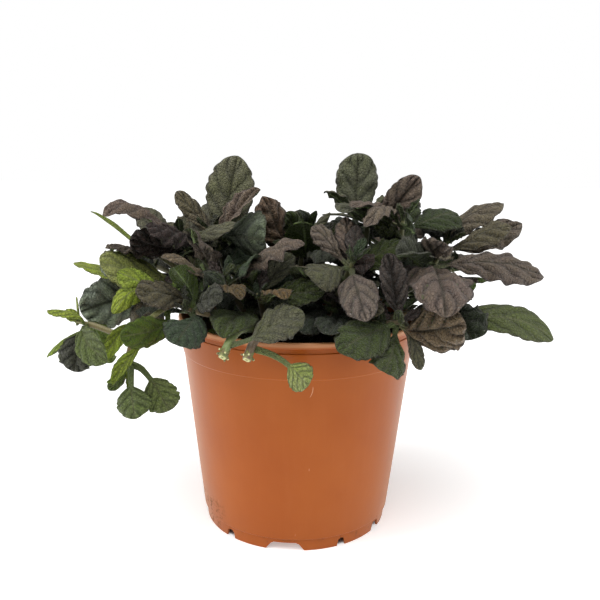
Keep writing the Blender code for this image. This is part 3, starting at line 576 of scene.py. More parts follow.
def makeRelief():
    tree, ins, outs = newGroup("leafRelief", "GeometryNodeTree", (
        ("Geometry", "Geometry", None), ("Quilt", "Float", 0.13), ("Midrib", "Float", 0.10),
        ("Pucker", "Float", 0.10), ("Pucker Scale", "Float", 170.0), ("Ridges", "Float", 0.3),
        ("Material", "Material", None),
    ), (("Geometry", "Geometry"),))
    across, along, half, seed = (named(tree, n) for n in ("across", "along", "half", "seed"))
    between, side = veinPattern(tree, across, along, seed)
    onBlade = times(tree, ramp(tree, along, 0.02, 0.18), ramp(tree, along, 1.0, 0.9))
    belly = times(tree, ramp(tree, side, 0.0, 0.3), ramp(tree, side, 1.05, 0.6))
    quilt = times(tree, calc(tree, "SUBTRACT", between, 0.5), belly)
    groove = times(tree, ramp(tree, side, 0.16, 0.0), ins.outputs["Midrib"])
    place = addNode(tree, "GeometryNodeInputPosition").outputs[0]
    lumps = calc(tree, "SUBTRACT", noise(tree, place, ins.outputs["Pucker Scale"], 2.0), 0.5)
    height = calc(tree, "SUBTRACT", times(tree, quilt, ins.outputs["Quilt"]), groove)
    pucker = times(tree, ins.outputs["Pucker"], ramp(tree, side, 0.0, 0.4))
    height = calc(tree, "MULTIPLY_ADD", lumps, pucker, height)
    # ridges that run with the veins, from the stalk towards the margin
    flow = calc(tree, "MULTIPLY_ADD", side, -0.35, along)
    spread = addNode(tree, "ShaderNodeCombineXYZ", None, {
        0: times(tree, across, 3.4), 1: times(tree, flow, 3.0),
        2: times(tree, seed, 60.0)}).outputs[0]
    ridges = calc(tree, "SUBTRACT", noise(tree, spread, 1.0, 3.0, 0.6), 0.5)
    height = calc(tree, "MULTIPLY_ADD", ridges, ins.outputs["Ridges"], height)
    height = times(tree, height, named(tree, "crumple"))
    height = times(tree, times(tree, height, onBlade), half)
    lift = scaledVector(tree, named(tree, "up", "FLOAT_VECTOR"), height)
    moved = addNode(tree, "GeometryNodeSetPosition", None,
                    {"Geometry": ins.outputs["Geometry"], "Offset": lift})
    real = addNode(tree, "GeometryNodeRealizeInstances", None, {"Geometry": moved.outputs[0]})
    dressed = addNode(tree, "GeometryNodeSetMaterial", None,
                      {"Geometry": real.outputs[0], "Material": ins.outputs["Material"]})
    tree.links.new(dressed.outputs[0], outs.inputs[0])
    return tree


def applyTree(name, source, tree, values):
    # runs a geometry tree once and keeps its result as a plain mesh
    holder = addObject(name + "Source", source)
    grow = holder.modifiers.new("grow", "NODES")
    grow.node_group = tree
    for socket in tree.interface.items_tree:
        if socket.in_out == "INPUT" and socket.name in values:
            grow[socket.identifier] = values[socket.name]
    mesh = finishedMesh(holder)
    mesh.name = name
    bpy.data.objects.remove(holder, do_unlink=True)
    return addObject(name, mesh)


def rideRoot(piece, slot, *replaced):
    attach(piece, "root")
    if replaced:
        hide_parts(*replaced)


def pieceName(node):
    first, *rest = node.split("_")
    return first + "".join(word.capitalize() for word in rest)


# leaf surface: quilted between the veins, downy, greener below, with painted highlights on the raised
# parts and painted shade in the vein grooves
skinTones = {
    "paleVein": tone(138, 140, 100), "underVein": tone(128, 148, 92), "stalk": tone(112, 128, 70),
    "down": tone(176, 174, 168),
    "greener": (0.92, 1.02, 0.60), "veinShade": (0.42, 0.40, 0.40), "puffed": (2.15, 2.1, 1.9),
    "underShade": (0.6, 0.55, 0.6), "grainShade": (0.55, 0.55, 0.55),
}


def makeLeafSkin():
    tree, ins, outs = newGroup("leafSkin", "ShaderNodeTree", (
        ("Under Colour", "Color", tone(62, 78, 36)), ("Margin Colour", "Color", tone(84, 66, 68)),
        ("Down", "Float", 0.5),
    ), (("Colour", "Color"), ("Roughness", "Float"), ("Height", "Float")))
    across, along = attribute(tree, "across"), attribute(tree, "along")
    under, seed = attribute(tree, "under"), attribute(tree, "seed")
    tint, paleVeins = attribute(tree, "tone", "Color"), attribute(tree, "tone", "Alpha")
    between, side = veinPattern(tree, across, along, seed)
    place = objectPlace(tree)
    flat = addNode(tree, "ShaderNodeUVMap", {"uv_map": "leafMap"}).outputs[0]

    # the bronze thins to green in blotches, more so where the veins are pale
    blotch = ramp(tree, noise(tree, place, 95.0, 4.0, 0.6), 0.38, 0.66)
    greener = tinted(tree, tint, skinTones["greener"])
    greenShare = times(tree, calc(tree, "MINIMUM", times(tree, paleVeins, 2.2), 1.0), 0.75)
    base = mixColour(tree, times(tree, blotch, greenShare), tint, greener)
    rim = times(tree, ramp(tree, side, 0.8, 1.0), 0.2)
    base = mixColour(tree, rim, base, ins.outputs["Margin Colour"])

    sideVein = times(tree, ramp(tree, between, 0.36, 0.08), ramp(tree, side, 1.0, 0.55))
    midVein = times(tree, ramp(tree, side, 0.085, 0.03), 1.6)
    vein = calc(tree, "MAXIMUM", times(tree, sideVein, 0.8), midVein)
    onBlade = ramp(tree, along, -0.02, 0.06)
    cells = addNode(tree, "ShaderNodeTexVoronoi", {"feature": "DISTANCE_TO_EDGE"},
                    {"Vector": flat, "Scale": 62.0, "Randomness": 0.9}).outputs["Distance"]
    mesh = ramp(tree, cells, 0.0, 0.16)            # the finest veins, a net between the others
    # dark veins: partly their own darker colour, partly painted shade in the grooves they sink into
    darker = tinted(tree, base, skinTones["veinShade"])
    lighter = mixColour(tree, 0.5, base, skinTones["paleVein"])
    veinColour = mixColour(tree, paleVeins, darker, lighter)
    gaps = calc(tree, "SUBTRACT", 1.0, mesh)
    # the net of finest veins is darkened, partly its own tone and partly painted shade in its grooves
    top = mixColour(tree, times(tree, gaps, 0.28), base, darker)
    puffed = ramp(tree, between, 0.35, 1.0, 0.0, 0.35)     # painted highlight: the raised parts between the veins are painted paler, as if lit
    top = mixColour(tree, puffed, top, tinted(tree, base, skinTones["puffed"]))
    top = mixColour(tree, times(tree, vein, 0.5), top, veinColour)

    below = mixColour(tree, 0.3, ins.outputs["Under Colour"], tint)
    below = mixColour(tree, times(tree, vein, 0.6), below, skinTones["underVein"])
    below = mixColour(tree, ramp(tree, noise(tree, place, 160.0, 3.0), 0.4, 0.7, 0.0, 0.35), below,
                      tinted(tree, below, skinTones["underShade"]))
    blade = mixColour(tree, under, top, below)

    stalk = mixColour(tree, 0.55, skinTones["stalk"], tint)
    colour = mixColour(tree, onBlade, stalk, blade)
    # a fine grain, and down caught by the light
    grain = noise(tree, place, 2600.0, 2.0, 0.7)
    specks = times(tree, ramp(tree, noise(tree, place, 900.0, 1.0), 0.735, 0.76),
                   times(tree, ins.outputs["Down"], 0.6))
    colour = mixColour(tree, specks, colour, skinTones["down"])
    colour = mixColour(tree, times(tree, ramp(tree, grain, 0.3, 0.7), 0.16), colour,
                       tinted(tree, colour, skinTones["grainShade"]))

    rough = calc(tree, "ADD", 0.46, times(tree, blotch, 0.12))
    rough = calc(tree, "ADD", rough, times(tree, grain, 0.08))
    rough = calc(tree, "MULTIPLY_ADD", seed, -0.08, rough)
    quilt = calc(tree, "ADD", times(tree, mesh, 0.7), times(tree, between, 0.9))
    height = calc(tree, "MULTIPLY_ADD", grain, 0.35, quilt)
    for title, value in (("Colour", colour), ("Roughness", rough), ("Height", height)):
        tree.links.new(value, outs.inputs[title])
    return tree


leafSkin = makeLeafSkin()


def leafMaterial(name, under, margin, down, sheen):
    material, tree, shader = plainMaterial(name, under, 0.5)
    skin = addNode(tree, "ShaderNodeGroup", {"node_tree": leafSkin},
                   {"Under Colour": under, "Margin Colour": margin, "Down": down})
    paint(tree, shader, skin.outputs["Colour"], skin.outputs["Roughness"], skin.outputs["Height"],
          1.0, 0.9 * mm)
    shader.inputs["Specular IOR Level"].default_value = 0.26
    shader.inputs["Sheen Weight"].default_value = sheen
    shader.inputs["Sheen Roughness"].default_value = 0.4
    return material


leafFinish = {
    "darkLeaf": {"under": tone(58, 74, 20), "margin": tone(72, 58, 58), "down": 0.6, "sheen": 0.10},
    "youngLeaf": {"under": tone(104, 128, 36), "margin": tone(96, 112, 44), "down": 0.3, "sheen": 0.03},
}
darkLeaf, youngLeaf = (leafMaterial(name, **finish) for name, finish in leafFinish.items())

leafRelief = makeRelief()
reliefValues = {
    "darkLeaf": {"Quilt": 0.19, "Midrib": 0.14, "Pucker": 0.19, "Pucker Scale": 260.0, "Ridges": 0.33},
    "youngLeaf": {"Quilt": 0.18, "Midrib": 0.13, "Pucker": 0.10, "Pucker Scale": 200.0, "Ridges": 0.3},
}


paintReach, fitReach = 22 * mm, 8 * mm     # how near a leaf's tip has to be to a listed one


def listedFor(table, tip, reach):
    best = min(table, key=lambda p: (Vector(p) * mm - tip).length, default=None)
    return table[best] if best and (Vector(best) * mm - tip).length < reach else None


def toneFor(node, tip, rng):
    listed = listedFor(leafPaint.get(node, {}), tip, paintReach)
    return listed or ("lime" if slotOf[node] == "young_leaf" else rng.choice(otherTones))


def footOf(leaf):
    # a leaf's stalk begins inside its stem's skin
    first = leaf["stations"][0]["at"]
    return leaf["from"] + (first - leaf["from"]).normalized() * leafShape["footOut"]


taken = []      # trees of all that stands, for keeping later leaves clear


def remember(verts, faces):
    points = np.asarray(verts)
    taken.append((BVHTree.FromPolygons([tuple(v) for v in points], faces),
                  points.min(0), points.max(0)))


for node in leafNodes:
    rng = random.Random(node)
    leaves = cadLeaves[node]
    for leaf in leaves:
        leaf["foot"] = footOf(leaf)
        dressLeaf(leaf, rng, toneFor(node, leaf["tip"], rng))
        leaf.update(listedFor(leafFits, leaf["tip"], fitReach) or {})
        leaf["half"] *= leaf.get("wide", 1)
        verts, faces, data = bladeShell(leaf, *leafShape["coarse"])
        remember(verts, faces)
    material = youngLeaf if slotOf[node] == "young_leaf" else darkLeaf
    piece = applyTree(pieceName(node), leafMesh(node, leaves, "fine"), leafRelief,
                      {"Material": material, **reliefValues[material.name]})
    rideRoot(piece, slotOf[node], node)
print("leaves made")

# stems: square with soft corners, downy, swollen where leaves join
stemShape = {"corner": 0.42, "steps": 16, "spacing": 1.6 * mm, "ripple": 0.10 * mm,
             "hairs": 26.0, "hairLength": 0.9 * mm, "hairRadius": 0.035 * mm}


def stemCurve(name, line):
    curve = bpy.data.curves.new(name, "CURVE")
    curve.dimensions = "3D"
    spline = curve.splines.new("POLY")
    dense, run = smoothPath([p for p, r in line])
    count = max(8, int(run[-1] / stemShape["spacing"]))
    at = np.linspace(0, run[-1], count)
    knots = [run[12 * k] if 12 * k < len(run) else run[-1] for k in range(len(line))]
    radii = [r for p, r in line]
    spline.points.add(count - 1)
    for k in range(count):
        place = [np.interp(at[k], run, dense[:, i]) for i in range(3)]
        spline.points[k].co = (*place, 1.0)
        spline.points[k].radius = float(np.interp(at[k], knots, radii)) / mm
    return curve


def marked(tree, geometry, mark, value):
    return addNode(tree, "GeometryNodeStoreNamedAttribute",
                   {"data_type": "FLOAT", "domain": "INSTANCE"},
                   {"Geometry": geometry, "Name": mark, "Value": value}).outputs[0]


def twoMaterials(tree, geometry, first, second, mark):
    # all in the first material, then what is marked in the second
    whole = addNode(tree, "GeometryNodeSetMaterial", None,
                    {"Geometry": geometry, "Material": first})
    chosen = calc(tree, "GREATER_THAN", named(tree, mark), 0.5)
    return addNode(tree, "GeometryNodeSetMaterial", None, {
        "Geometry": whole.outputs[0], "Selection": chosen, "Material": second}).outputs[0]


def makeStemTree():
    tree, ins, outs = newGroup("stemSkinTree", "GeometryNodeTree", (
        ("Geometry", "Geometry", None), ("Ripple", "Float", 0.0001),
        ("Hairs per Square Centimetre", "Float", 26.0), ("Hair Length", "Float", 0.0009),
        ("Hair Radius", "Float", 0.00004), ("Seed", "Int", 7),
        ("Material", "Material", None), ("Hair Material", "Material", None),
    ), (("Geometry", "Geometry"),))
    ring = addNode(tree, "GeometryNodeCurvePrimitiveCircle", None,
                   {"Resolution": stemShape["steps"], "Radius": mm})
    place = addNode(tree, "GeometryNodeInputPosition").outputs[0]
    # pulls a circle towards a square with round corners
    parts = addNode(tree, "ShaderNodeSeparateXYZ", None, {0: place})
    high = calc(tree, "MAXIMUM", calc(tree, "ABSOLUTE", parts.outputs[0]),
                calc(tree, "ABSOLUTE", parts.outputs[1]))
    grow = calc(tree, "DIVIDE", mm, high)
    grow = calc(tree, "MULTIPLY_ADD", calc(tree, "SUBTRACT", grow, 1.0), stemShape["corner"] * 0.5,
                0.94)
    squared = scaledVector(tree, place, grow)
    profile = addNode(tree, "GeometryNodeSetPosition", None,
                      {"Geometry": ring.outputs[0], "Position": squared})
    skin = addNode(tree, "GeometryNodeCurveToMesh", None, {
        "Curve": ins.outputs["Geometry"], "Profile Curve": profile.outputs[0],
        "Scale": addNode(tree, "GeometryNodeInputRadius").outputs[0], "Fill Caps": True})
    normal = addNode(tree, "GeometryNodeInputNormal").outputs[0]
    rough = calc(tree, "SUBTRACT", noise(tree, place, 420.0, 3.0), 0.5)
    push = scaledVector(tree, normal, times(tree, rough, ins.outputs["Ripple"]))
    skin = addNode(tree, "GeometryNodeSetPosition", None,
                   {"Geometry": skin.outputs[0], "Offset": push})
    smooth = addNode(tree, "GeometryNodeSetShadeSmooth", None, {"Geometry": skin.outputs[0]})
    spots = addNode(tree, "GeometryNodeDistributePointsOnFaces", None, {
        "Mesh": skin.outputs[0], "Seed": ins.outputs["Seed"],
        "Density": times(tree, ins.outputs["Hairs per Square Centimetre"], 10000.0)})
    hair = addNode(tree, "GeometryNodeMeshCone", {"fill_type": "NONE"}, {
        "Vertices": 3, "Side Segments": 1, "Radius Top": 0.0,
        "Radius Bottom": ins.outputs["Hair Radius"], "Depth": ins.outputs["Hair Length"]})
    size = addNode(tree, "FunctionNodeRandomValue", {"data_type": "FLOAT"},
                   {2: 0.5, 3: 1.2, "Seed": ins.outputs["Seed"]}).outputs[1]
    fur = addNode(tree, "GeometryNodeInstanceOnPoints", None, {
        "Points": spots.outputs["Points"], "Instance": hair.outputs[0],
        "Rotation": spots.outputs["Rotation"], "Scale": size})
    both = addNode(tree, "GeometryNodeJoinGeometry")
    tree.links.new(smooth.outputs[0], both.inputs[0])
    tree.links.new(marked(tree, fur.outputs[0], "hair", 1.0), both.inputs[0])
    real = addNode(tree, "GeometryNodeRealizeInstances", None, {"Geometry": both.outputs[0]})
    tree.links.new(twoMaterials(tree, real.outputs[0], ins.outputs["Material"],
                                ins.outputs["Hair Material"], "hair"), outs.inputs[0])
    return tree


def stemMaterial(name, low, high):
    # brown near the ground, greener towards the tips, streaked along its length
    material, tree, shader = plainMaterial(name, low, 0.5)
    place = objectPlace(tree)
    level = addNode(tree, "ShaderNodeSeparateXYZ", None, {0: place}).outputs[2]
    blotch = noise(tree, place, 130.0, 4.0)
    rise = ramp(tree, calc(tree, "MULTIPLY_ADD", blotch, 0.03, level), 0.118, 0.165)
    colour = mixColour(tree, rise, low, high)
    fine = noise(tree, stretched(tree, place, 0.25), 1500.0, 3.0, 0.6)
    colour = mixColour(tree, ramp(tree, fine, 0.35, 0.7, 0.0, 0.5), colour,
                       tinted(tree, colour, (0.5, 0.42, 0.42)))
    paint(tree, shader, colour, calc(tree, "MULTIPLY_ADD", fine, 0.2, 0.4), fine, 0.5, 0.3 * mm)
    shader.inputs["Sheen Weight"].default_value = 0.3
    return material


# each stem's tone near the ground and at its tip
stemTones = {
    "darkStem": (tone(96, 74, 52), tone(98, 100, 58)),
    "youngStem": (tone(112, 92, 58), tone(118, 132, 66)),
    "greenStalk": (tone(100, 116, 58), tone(108, 124, 64)),
}
darkStem, youngStem, greenStalk = (stemMaterial(name, *tones) for name, tones in stemTones.items())
hairMaterial, hairTree, hairShader = plainMaterial("stemHair", tone(190, 190, 170), 0.5)
hairPatches = noise(hairTree, objectPlace(hairTree), 300.0)
hairColour = mixColour(hairTree, hairPatches, tone(150, 150, 120), tone(205, 205, 190))
hairTree.links.new(hairColour, hairShader.inputs["Base Color"])
stemTree = makeStemTree()
youngStems = ("trailing_runner_stem", "side_runner_stem")
cutStalks = ("left_cut_stalk_stem", "right_cut_stalk_stem")
stemSkins = {**dict.fromkeys(youngStems, youngStem), "left_cut_stalk_stem": greenStalk}
for node in stemNodes:
    piece = applyTree(pieceName(node), stemCurve(node, cadStems[node]), stemTree, {
        "Ripple": stemShape["ripple"], "Hair Length": stemShape["hairLength"],
        "Hair Radius": stemShape["hairRadius"], "Hairs per Square Centimetre": stemShape["hairs"],
        "Seed": 11, "Material": stemSkins.get(node, darkStem),
        "Hair Material": hairMaterial})
    rideRoot(piece, slotOf[node], node)
    bm = welded(node)
    remember([v.co for v in bm.verts], [[v.index for v in f.verts] for f in bm.faces])
    bm.free()
print("stems made")

# cut ends: pale pith inside a green rind, among the stubs of the small leaves cut with it
cutShape = {
    "steps": 14, "stubs": 6, "stubOut": 1.1, "stubLong": 2.1 * mm, "stubWide": 0.62 * mm,
    # rows of radius, height and paleness, in the stalk's radii
    "face": ((0, -0.7, 0), (0.28, -0.6, 0.1), (0.36, 0.1, 0.8), (0.58, 0.22, 1), (0.82, 0.12, 0.5),
             (1.05, -0.4, 0.2), (1.02, -1.6, 0), (0.7, -2.4, 0), (0, -2.5, 0)),
    "stub": ((0, 1.0, 1), (0.5, 0.99, 1), (0.85, 0.93, 0.2), (1.1, 0.5, 0), (0.9, 0.0, 0),
             (0, -0.2, 0)),
}


def turnedShape(bm, rows, wide, long, place, way):
    # a shape turned about its own way, closed at both poles
    pale = bm.verts.layers.float.get("pale") or bm.verts.layers.float.new("pale")
    aim = Matrix.Translation(place) @ way.to_track_quat("Z", "Y").to_matrix().to_4x4()
    steps = cutShape["steps"]
    rings = []
    for radius, height, light in rows:
        ring = []
        for k in range(steps if radius else 1):
            angle = 2 * math.pi * k / steps
            reach = radius * wide * (1 + 0.12 * math.cos(4 * angle))
            ring.append(bm.verts.new(aim @ Vector((
                reach * math.cos(angle), reach * math.sin(angle), height * long))))
            ring[-1][pale] = light
        rings.append(ring)
    for first, second in zip(rings, rings[1:]):
        for k in range(steps):
            corners = [first[k % len(first)], second[k % len(second)],
                       second[(k + 1) % len(second)], first[(k + 1) % len(first)]]
            bm.faces.new(list(dict.fromkeys(corners)))


def makeCutEnd(node):
    line = [p for p, r in cadStems[node]]
    if math.hypot(*line[0].xy) > math.hypot(*line[-1].xy):
        line.reverse()
    end, way = line[-1], (line[-1] - line[-2]).normalized()
    radius = cadStems[node][-1][1]
    rng = random.Random(node + " cut")
    bm = bmesh.new()
    turnedShape(bm, cutShape["face"], radius, radius, end, way)
    ahead = way.orthogonal().normalized()
    for k in range(cutShape["stubs"]):
        angle = math.radians(360 / cutShape["stubs"] * (k + rng.uniform(-0.25, 0.25)))
        out = Matrix.Rotation(angle, 3, way) @ ahead
        foot = end - way * radius * rng.uniform(0.5, 1.6) + out * radius * cutShape["stubOut"] * 0.6
        turnedShape(bm, cutShape["stub"], cutShape["stubWide"] * rng.uniform(0.7, 1.2),
                    cutShape["stubLong"] * rng.uniform(0.7, 1.2), foot,
                    (out + way * rng.uniform(0.4, 1.1)).normalized())
    bmesh.ops.recalc_face_normals(bm, faces=bm.faces)
    mesh = bpy.data.meshes.new(node + "End")
    bm.to_mesh(mesh)
    bm.free()
    mesh.shade_smooth()
    return addObject(pieceName(node) + "CutEnd", mesh)


def pithMaterial():
    material, tree, shader = plainMaterial("cutPith", tone(96, 84, 48), 0.55)
    place = objectPlace(tree)
    speckle = noise(tree, place, 1400.0, 3.0, 0.6)
    rind = mixColour(tree, ramp(tree, speckle, 0.35, 0.65), tone(84, 66, 40), tone(110, 116, 58))
    pith = mixColour(tree, ramp(tree, speckle, 0.3, 0.7), tone(176, 176, 112), tone(208, 206, 156))
    light = ramp(tree, attribute(tree, "pale"), 0.2, 0.75)
    paint(tree, shader, mixColour(tree, light, rind, pith),
          calc(tree, "MULTIPLY_ADD", speckle, 0.3, 0.4), speckle, 0.6, 0.3 * mm)
    return material


cutPith = pithMaterial()
for node in cutStalks:
    piece = makeCutEnd(node)
    piece.data.materials.append(cutPith)
    rideRoot(piece, slotOf[node])
print("cut ends made")

# inner leaves and buds, set by rule where there is room for them
innerShape = {
    "tries": 5200, "longest": 28, "shortest": 10, "reach": (8, 46), "wide": 0.56,
    "room": (103, 66, 58), "middle": (0, 8, 118), "mouth": 58, "overRim": 121, "lowest": 106,
    "rootedAt": 104, "budLength": 13, "budWide": 0.48, "outerBuds": 4, "budCount": 6,
}
# the inner leaves lean to dark tones, partly their own colour and partly painted shade deep in the plant
innerTones = ("moss", "mossDark", "plumDark", "slate", "mossDark", "moss", "olive", "plumDark")
budTones = ("slate", "plumDark", "teal", "olive")
youngTones = ("lime", "fresh")


def ruledLeaf(foot, tip, blade, wide, face, sag):
    # a leaf on a stalk from its foot, whose blade is the given length and whose path sags
    stalk = max(0.16, 1 - blade / (tip - foot).length)
    bend = foot.lerp(tip, 0.55) + Vector((0, 0, sag))
    stations = []
    for share in (-1, 0, 0.28, 0.6, 0.87):
        t = stalk / 2 if share < 0 else stalk + (1 - stalk) * share
        at = foot * (1 - t) ** 2 + bend * 2 * t * (1 - t) + tip * t * t
        run = ((bend - foot) * (1 - t) + (tip - bend) * t).normalized()
        up = (face - run * face.dot(run)).normalized()
        stations.append({"at": at, "up": up, "half": 0})
    return {"stations": stations, "tip": tip, "foot": foot, "from": foot, "half": blade * wide / 2}


def hasRoom(leaf):
    # only the blade has to be clear; stalks run together at a stem
    verts, faces, data = bladeShell(leaf, *leafShape["coarse"])
    keep = [f for f in faces if min(data["along"][v] for v in f) > 0.05]
    low, high = verts.min(0), verts.max(0)
    tree = None
    for other, otherLow, otherHigh in taken:
        if np.all(low < otherHigh) and np.all(high > otherLow):
            tree = tree or BVHTree.FromPolygons([tuple(v) for v in verts], keep)
            if tree.overlap(other):
                return None
    return verts, keep


def insideRoom(tip):
    reach = [(tip[k] / mm - innerShape["middle"][k]) / innerShape["room"][k] for k in range(3)]
    inPot = math.hypot(tip.x, tip.y) < innerShape["mouth"] * mm or tip.z > innerShape["overRim"] * mm
    return sum(r * r for r in reach) < 1 and inPot and tip.z > innerShape["lowest"] * mm


stemPlaces, stemOwners = [], []
for node in stemNodes:
    dense, run = smoothPath([p for p, r in cadStems[node]])
    for place in dense[dense[:, 2] > innerShape["rootedAt"] * mm]:
        stemPlaces.append(place)
        stemOwners.append(node)
stemPlaces = np.array(stemPlaces)


def growInner(rng):
    shape, found = innerShape, {}
    for k in range(shape["tries"]):
        tip = Vector([m + r * rng.uniform(-1, 1) for m, r in zip(shape["middle"], shape["room"])]) * mm
        if not insideRoom(tip):
            continue
        far = np.linalg.norm(stemPlaces - np.array(tip), axis=1)
        far[stemPlaces[:, 2] > tip.z - mm] = 1.0        # a leaf rises from its stem
        near = int(far.argmin())
        if not shape["reach"][0] * mm < far[near] < shape["reach"][1] * mm:
            continue
        foot, node = Vector(stemPlaces[near]), stemOwners[near]
        blade = (shape["longest"] + (shape["shortest"] - shape["longest"]) * k / shape["tries"]) * mm
        outward = Vector((tip.x, tip.y - 40 * mm, 0)).normalized()      # leaves lean to the front
        face = (Vector((0, 0, 1)) + outward * rng.uniform(0.1, 1.6)).normalized()
        leaf = ruledLeaf(foot, tip, blade, shape["wide"] * rng.uniform(0.85, 1.15), face,
                         rng.uniform(0, 5) * mm)
        dressLeaf(leaf, rng, rng.choice(innerTones if node not in youngStems else youngTones), 1.3)
        room = hasRoom(leaf)
        if room:
            remember(*room)
            found.setdefault(node, []).append(leaf)
    return found


def growBuds(node, rng):
    line = [p for p, r in cadStems[node]]
    end, way = line[-1], (line[-1] - line[-2]).normalized()
    lean = (way + Vector((0, 0, 0.8))).normalized()
    ahead = lean.orthogonal().normalized()
    found = []
    names = youngTones if node in youngStems else budTones
    for k in range(innerShape["budCount"]):
        outer = k < innerShape["outerBuds"]
        angle = math.radians(90 * k + (0 if outer else 45) + rng.uniform(-15, 15))
        spread = 0.75 if outer else 0.35
        out = Matrix.Rotation(angle, 3, lean) @ ahead
        length = innerShape["budLength"] * mm * rng.uniform(0.7, 1.15) * (1 if outer else 0.7)
        grow = (lean + out * spread).normalized()
        foot = end - way * mm
        leaf = ruledLeaf(foot, foot + grow * length, length, innerShape["budWide"],
                         -out + lean * 0.4, 0)
        dressLeaf(leaf, rng, rng.choice(names), 1.6)
        room = hasRoom(leaf)
        if room:
            remember(*room)
            found.append(leaf)
    return found


buds = {node: growBuds(node, random.Random(node)) for node in stemNodes if node not in cutStalks}
inner = growInner(random.Random(8))
count = 0
for node in stemNodes:
    leaves = buds.get(node, []) + inner.get(node, [])
    if not leaves:
        continue
    count += len(leaves)
    material = youngLeaf if node in youngStems else darkLeaf
    piece = applyTree(pieceName(node.removesuffix("_stem")) + "InnerLeaves",
                      leafMesh(node + "Inner", leaves, "plain"), leafRelief,
                      {"Material": material, **reliefValues[material.name]})
    rideRoot(piece, "young_leaf" if node in youngStems else "dark_leaf")
print("inner leaves made:", count)

# pot: turned, with notches and drain slots cut through its foot
potShape = {
    "steps": 240, "wall": 1.2 * mm, "lipHigh": 3.0 * mm, 
    "lipGroove": 1.3 * mm, "lipProud": 0.6 * mm, "taper": 13.1 * mm,
    "bandDrop": 5.6 * mm, "bandHigh": 13.1 * mm, "bandProud": 0.45 * mm,
    "footHigh": 7.0 * mm, "footStep": 1.2 * mm, "footDraft": 0.4 * mm, "floorRise": 5.0 * mm,
    "notchHigh": 4.5 * mm, "notchTaper": 0.66, "notchDepth": 9.6 * mm,
    "notches": ((-42.5, 7.0), (-6.0, 23.0), (28.5, 5.5), (59.0, 9.0), (98.0, 6.0)),
    "drainWide": 5.0 * mm, "drainLong": 9.0 * mm, "drainIn": 6.3 * mm,
}
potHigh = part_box("pot")[1]


def roundCorner(before, corner, after, radius, steps=4):
    # points of an arc-like turn that replaces a corner of a profile
    a, b, c = (np.array(p, float) for p in (before, corner, after))
    one = b + (a - b) / np.linalg.norm(a - b) * radius
    two = b + (c - b) / np.linalg.norm(c - b) * radius
    ts = np.linspace(0, 1, steps + 1)[:, None]
    return [tuple(p) for p in one * (1 - ts) ** 2 + b * 2 * ts * (1 - ts) + two * ts ** 2]


def potProfile():
    s = potShape
    high, rim = potHigh.z, potHigh.x

    def wallAt(z):
        return rim - s["lipProud"] - s["taper"] * (1 - z / high)
    floorTop = s["floorRise"] + s["wall"]
    inner = wallAt(high) - s["wall"]
    bandTop = high - s["bandDrop"]
    bandFoot = bandTop - s["bandHigh"]
    groove = rim - s["lipGroove"]
    lipFoot = high - s["lipHigh"]
    footTop = wallAt(s["footHigh"]) - s["footStep"]
    footBase = footTop - s["footDraft"]
    corners = [
        (0, floorTop, 0), (wallAt(floorTop) - s["wall"], floorTop, 1.5 * mm),
        (inner, high, 0.6 * mm), (rim, high, 0.9 * mm), (rim, lipFoot, 0.7 * mm),
        (groove, lipFoot, 0.3 * mm), (groove, bandTop, 0.3 * mm),
        (wallAt(bandTop) + s["bandProud"], bandTop, 0.35 * mm),
        (wallAt(bandFoot) + s["bandProud"], bandFoot, 0.3 * mm),
        (wallAt(bandFoot - s["bandProud"]), bandFoot - s["bandProud"], 0.2 * mm),
        (wallAt(s["footHigh"]), s["footHigh"], 0.35 * mm),
        (footTop, s["footHigh"] - s["footDraft"], 0.3 * mm),
        (footBase, 0, 0.3 * mm), (footBase - s["wall"], 0, 0.3 * mm),
        (footBase - s["wall"], s["floorRise"], 1.0 * mm), (0, s["floorRise"], 0),
    ]
    line = []
    for k, (x, z, radius) in enumerate(corners):
        if radius:
            line += roundCorner(corners[k - 1][:2], (x, z), corners[k + 1][:2], radius)
        else:
            line.append((x, z))
    return line


def cutterBlock(bm, width, depth, low, high, taper, centre, angle, soft):
    made = bmesh.ops.create_cube(bm, size=1.0)["verts"]
    for vert in made:
        share = vert.co.z + 0.5
        vert.co.x *= width * (1 + (taper - 1) * share)
        vert.co.y = vert.co.y * depth - centre
        vert.co.z = low + (high - low) * share
    if soft:
        edges = {e for v in made for e in v.link_edges
                 if abs(e.verts[0].co.y - e.verts[1].co.y) > depth / 2
                 and e.verts[0].co.z > 0 and e.verts[1].co.z > 0}
        made = bmesh.ops.bevel(bm, geom=list(edges), offset=soft, segments=3,
                               affect="EDGES")["verts"] + [v for v in made if v.is_valid]
    bmesh.ops.rotate(bm, verts=list(set(made)), matrix=Matrix.Rotation(math.radians(angle), 3, "Z"))


